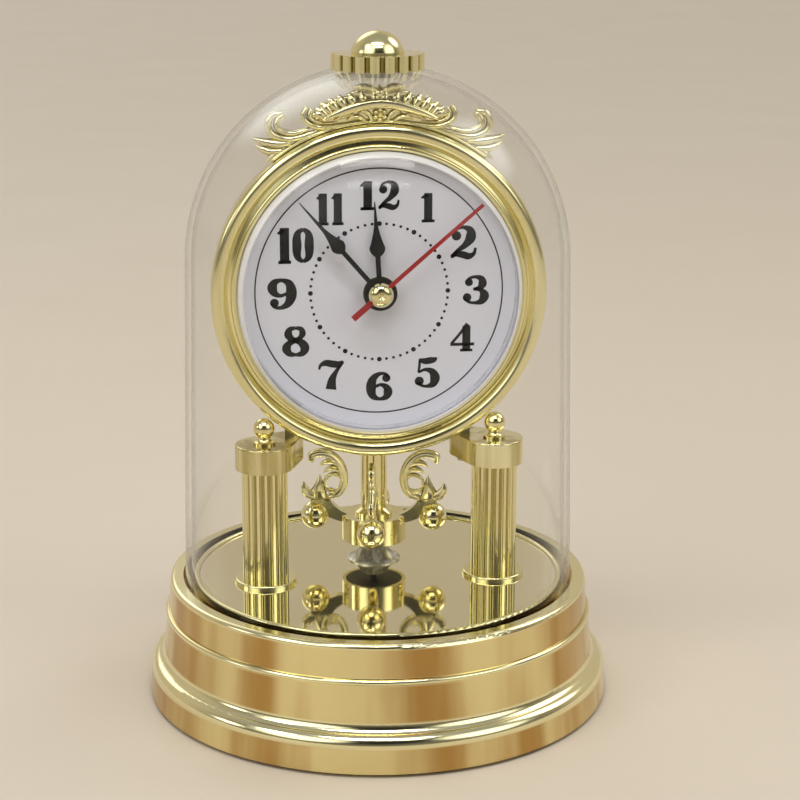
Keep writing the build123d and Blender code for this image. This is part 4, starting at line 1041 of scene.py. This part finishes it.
    def fan(self, half: Drawing, place: float) -> None:
        """Adds a bowed feather from the roll to the border, its root nearer the middle than its tip.

        Args:
            half: the board of its half.
            place: 0 in the middle of the shell and 1 at its end.
        """
        tip_u = -self.shell_half * math.sin(place * math.pi / 2)
        root_u = tip_u * self.root_share
        tip = np.array([tip_u, self.border(tip_u) - self.inset])
        root = np.array([root_u, self.arch(root_u) + self.root_lift])
        rows = np.array(self.feather)
        share = rows[:, :1]
        path = root + (tip - root) * share + share * (1 - share) * np.array(self.feather_bow) * place
        half.strand(np.hstack([path, rows[:, 1:]]), lift=0.7, samples=14, sides=16)

    def flowers(self) -> None:
        """Adds a flower under the arch and leaves that curl away from it on both sides."""
        board = self.halves[0]
        board.bead(0.0, self.flower_w, *self.flower)
        for turn in np.arange(self.petals) * 2 * np.pi / self.petals:
            place = self.petal_r * math.sin(turn), self.flower_w + self.petal_r * math.cos(turn)
            board.bead(*place, *self.petal)
        for half in self.halves:
            for leaf in self.small_leaves:
                half.strand(leaf, ridge=1.3, lift=0.6, samples=20, sides=14)

    def build(self) -> None:
        """Carves both halves and lets them stand for the plain crest."""
        board = self.halves[0]
        radius = self.bezel_r * self.band_share
        arc = np.radians(np.linspace(*self.band_arc, 15))
        band = [(radius * math.cos(a), radius * math.sin(a), *self.band_half) for a in arc]
        board.strand(band, samples=90)
        self.shell()
        self.flowers()
        for half in self.halves:
            for hook in self.hooks:
                half.strand(hook, samples=60)
            for blade in self.blades:
                half.strand(blade, ridge=1.6)
            for leaf in self.crown_leaves:
                half.strand(leaf, groove=0.2)
        board.strand(self.bud)
        relief = self.skin.piece("crest_relief", "base", "gold_plated", Look.CARVED)
        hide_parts("crest")


@dataclass
class Pendulum:
    """Carved scrolls on the pendulum's arms, in millimetres: u is the radius, w the height over the plate."""

    first_turn: float = -8.5
    words: Tuple[str, ...] = ("right", "back", "left", "front")
    band: Knots = (
        (15.6, 21.3, 0.8, 1.3), (12.5, 22.2, 1.2, 1.5), (10.8, 24.3, 1.35, 1.6), (10, 27.2, 1.4, 1.6),
        (10.2, 30.1, 1.4, 1.6), (11.3, 32.9, 1.45, 1.6), (13.4, 35.3, 1.5, 1.6), (16, 36.6, 1.5, 1.6),
        (18.8, 36.6, 1.5, 1.6), (20.9, 35.6, 1.35, 1.5), (20.9, 34.2, 1, 1.2))
    fronds: Sequence[Knots] = (
        ((11.3, 32, 0.7, 1.1), (13.6, 33.5, 1.1, 1.3), (15.8, 33.6, 1.05, 1.3), (17.4, 32.8, 0.6, 0.9),
         (18.2, 31.9, 0.1, 0.3)),
        ((10.6, 29.4, 0.7, 1.1), (12.6, 31, 1, 1.2), (14.6, 31.3, 0.95, 1.2), (16.2, 30.5, 0.55, 0.8),
         (17, 29.7, 0.1, 0.3)),
        ((10, 27, 0.6, 1), (11.9, 28.9, 0.75, 1.2), (14.2, 29.2, 0.75, 1.2), (16, 27.8, 0.7, 1.1),
         (16.6, 25.8, 0.5, 0.9)),
        ((12, 24.4, 0.4, 0.9), (13.6, 23.5, 0.9, 1.2), (15.4, 23.9, 0.9, 1.2), (16.3, 25.2, 0.4, 0.7)))
    leaf: Knots = (
        (18.4, 21.4, 2.7, 1.2), (18.6, 23, 2.6, 1.5), (18.4, 24.8, 1.9, 1.5), (18.2, 26.8, 1.1, 1.2),
        (18.2, 29.3, 0.15, 0.3))
    comma: Knots = (
        (19.2, 21.7, 1.3, 1.3), (21.2, 22, 1.7, 1.5), (22.8, 23.2, 1.6, 1.5), (23.5, 24.8, 1.1, 1.3),
        (23.6, 26.2, 0.4, 0.7))
    pad: Knots = ((15, 20.95, 0.5, 1.3), (18, 20.95, 0.5, 1.4), (20.8, 20.95, 0.5, 1.3))

    def build(self) -> None:
        """Carves one scroll for each arm and lets it stand for the plain one."""
        plate_top = in_mm(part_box("mirror_plate"))[1][2]
        hub = in_mm(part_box("pendulum_hub"))
        middle = (0.0, (hub[0][1] + hub[1][1]) / 2, plate_top)
        for index, word in enumerate(self.words):
            turn = math.radians(self.first_turn + 90 * index)
            x, y = math.cos(turn), math.sin(turn)
            board = Drawing(Skin(), middle, (x, y, 0), (y, -x, 0))
            board.strand(self.band, groove=0.4, samples=90, sides=28)
            for frond in self.fronds:
                board.strand(frond, ridge=1.2)
            board.strand(self.leaf, ridge=1.5)
            board.strand(self.comma, groove=0.3)
            board.strand(self.pad)
            name = f"pendulum_scroll_relief_{word}"
            relief = board.skin.piece(name, "pendulum", "gold_plated", Look.CARVED)
            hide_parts(f"pendulum_scroll_{word}")


class Metalwork:
    """Finishes for the CAD nodes: a node's own one, or else that of its slot in the record."""

    def build(self) -> None:
        """Gives every CAD node its finish."""
        for part in frame["record"]["subparts"]:
            node = frame["nodes"][part["node"]]
            look = OWN_LOOKS.get(part["node"], SLOT_LOOKS[part["material_slot"]])
            node.data.materials.clear()
            node.data.materials.append(look.value.material())
            node.visible_shadow = not isinstance(look.value, Clear)
            LOG.info("%s: %s", part["node"], look.name)


@dataclass(frozen=True)
class Glow:
    """A round, soft-edged patch of the room: the way to it, its radii in degrees and its light."""

    way: Point
    inner: float
    outer: float
    tone: Colour


@dataclass(frozen=True)
class Tube:
    """A soft ceiling light: its name, its place and size in metres and its power in watts."""

    name: str
    place: Point
    size: Pair
    power: float


@dataclass
class Studio:
    """Floor, soft light and the camera at the photo's angle, in metres."""

    eye: Point = (-0.0676, -0.6251, 0.2660)
    target: Point = (0.0, 0.0, 0.0978)
    lens: float = 90.0
    sensor: float = 36.0
    shift: float = 0.0279
    clip: Pair = (0.01, 50.0)
    floor_half: float = 6.0
    floor_lines: int = 9
    lit: Point = (0.0, 0.0, 0.12)
    lamp_tone: Colour = (1.0, 0.98, 0.95)
    near_wall: Colour = (0.15, 0.14, 0.12)
    far_wall: Colour = (0.48, 0.42, 0.34)
    ceiling: Colour = (0.32, 0.32, 0.32)
    wall_turn: Pair = (-0.30, 0.50)
    ceiling_edge: Pair = (0.55, 0.95)
    room_light: float = 1.15
    glows: Tuple[Glow, ...] = (
        Glow((-0.07, -0.70, 0.71), 20.0, 36.0, (0.02, 0.02, 0.02)),
        Glow((-0.62, -0.56, 0.55), 8.0, 26.0, (1.7, 1.7, 1.6)),
        Glow((0.66, -0.52, 0.54), 8.0, 26.0, (1.7, 1.7, 1.6)),
        Glow((-0.644, -0.259, 0.720), 4.0, 9.0, (5.0, 5.0, 4.9)),
        Glow((-0.946, -0.089, 0.311), 4.0, 10.0, (2.5, 2.5, 2.4)),
        Glow((0.707, 0.270, 0.653), 6.0, 18.0, (3.0, 3.0, 2.9)),
        Glow((-0.242, 0.792, 0.561), 8.0, 22.0, (1.5, 1.5, 1.4)),
    )
    tubes: Tuple[Tube, ...] = (
        Tube("ceiling_tube", (-0.07, -0.53, 1.47), (0.98, 0.075), 6.5),
        Tube("ceiling_tube_front", (-0.07, -0.84, 1.30), (0.86, 0.09), 2.6),
    )

    def floor(self) -> None:
        """Lays the floor: a flat grid that reaches past the camera's view."""
        side = np.linspace(-self.floor_half, self.floor_half, self.floor_lines)
        x, y = np.meshgrid(side, side, indexing="ij")
        skin = Skin()
        skin.grid(np.stack([x, y, np.zeros_like(x)], axis=-1) / MM)
        mesh = bpy.data.meshes.new("floor")
        mesh.from_pydata(np.vstack(skin.points) * MM, [], np.vstack(skin.faces))
        mesh.materials.append(Look.FLOOR.value.material())
        made = add_object("floor", mesh)

    def lamp(self, tube: Tube) -> None:
        """Hangs a soft box that points at the clock.

        Args:
            tube: what it is like.
        """
        light = bpy.data.lights.new(tube.name, "AREA")
        light.shape = "RECTANGLE"
        light.size, light.size_y = tube.size
        light.energy = tube.power
        light.color = self.lamp_tone
        made = add_object(tube.name, light)
        made.location = tube.place
        made.rotation_euler = (Vector(self.lit) - Vector(tube.place)).to_track_quat("-Z", "Y").to_euler()

    def sky(self) -> None:
        """Lights the room: walls, a ceiling, a dark patch where the viewer stands and soft bright patches.

        A patch covers the directions whose cosine with its own way is over a limit, with a smooth edge.
        """
        world = bpy.data.worlds.new("room")
        bpy.context.scene.world = world
        tree = Tree(world)
        x, y, z = tree.axes(tree.value("ShaderNodeTexCoord", output="Generated"))
        walls = tree.blend(y.step(*self.wall_turn), self.near_wall, self.far_wall)
        colour = tree.blend(z.step(*self.ceiling_edge), walls, self.ceiling)
        for glow in self.glows:
            way = Vector(glow.way).normalized()
            near = x * way.x + y * way.y + z * way.z
            inside = near.step(math.cos(math.radians(glow.outer)), math.cos(math.radians(glow.inner)))
            colour = tree.blend(inside, colour, glow.tone)
        light = tree.value("ShaderNodeBackground", inputs={"Color": colour, "Strength": self.room_light})
        tree.node("ShaderNodeOutputWorld", inputs={"Surface": light})

    def camera(self) -> None:
        """Sets the camera and the plain view transform."""
        lens = bpy.data.cameras.new("photo_camera")
        lens.lens, lens.sensor_width, lens.shift_x = self.lens, self.sensor, self.shift
        lens.clip_start, lens.clip_end = self.clip
        made = add_object("photo_camera", lens)
        made.location = self.eye
        made.rotation_euler = (Vector(self.target) - Vector(self.eye)).to_track_quat("-Z", "Y").to_euler()
        bpy.context.scene.camera = made
        bpy.context.scene.view_settings.view_transform = "Standard"

    def build(self) -> None:
        """Sets up the floor, the room light, the soft boxes and the camera."""
        self.floor()
        self.sky()
        for tube in self.tubes:
            self.lamp(tube)
        self.camera()


def main() -> None:
    """Builds the clock's pieces in order."""
    logging.basicConfig(level=logging.INFO, format="%(name)s %(message)s")
    for part in (Metalwork(), Dial(), Crest(), Pendulum(), Studio()):
        part.build()
        LOG.info("%s done", type(part).__name__)


if __name__ == "__main__":
    main()
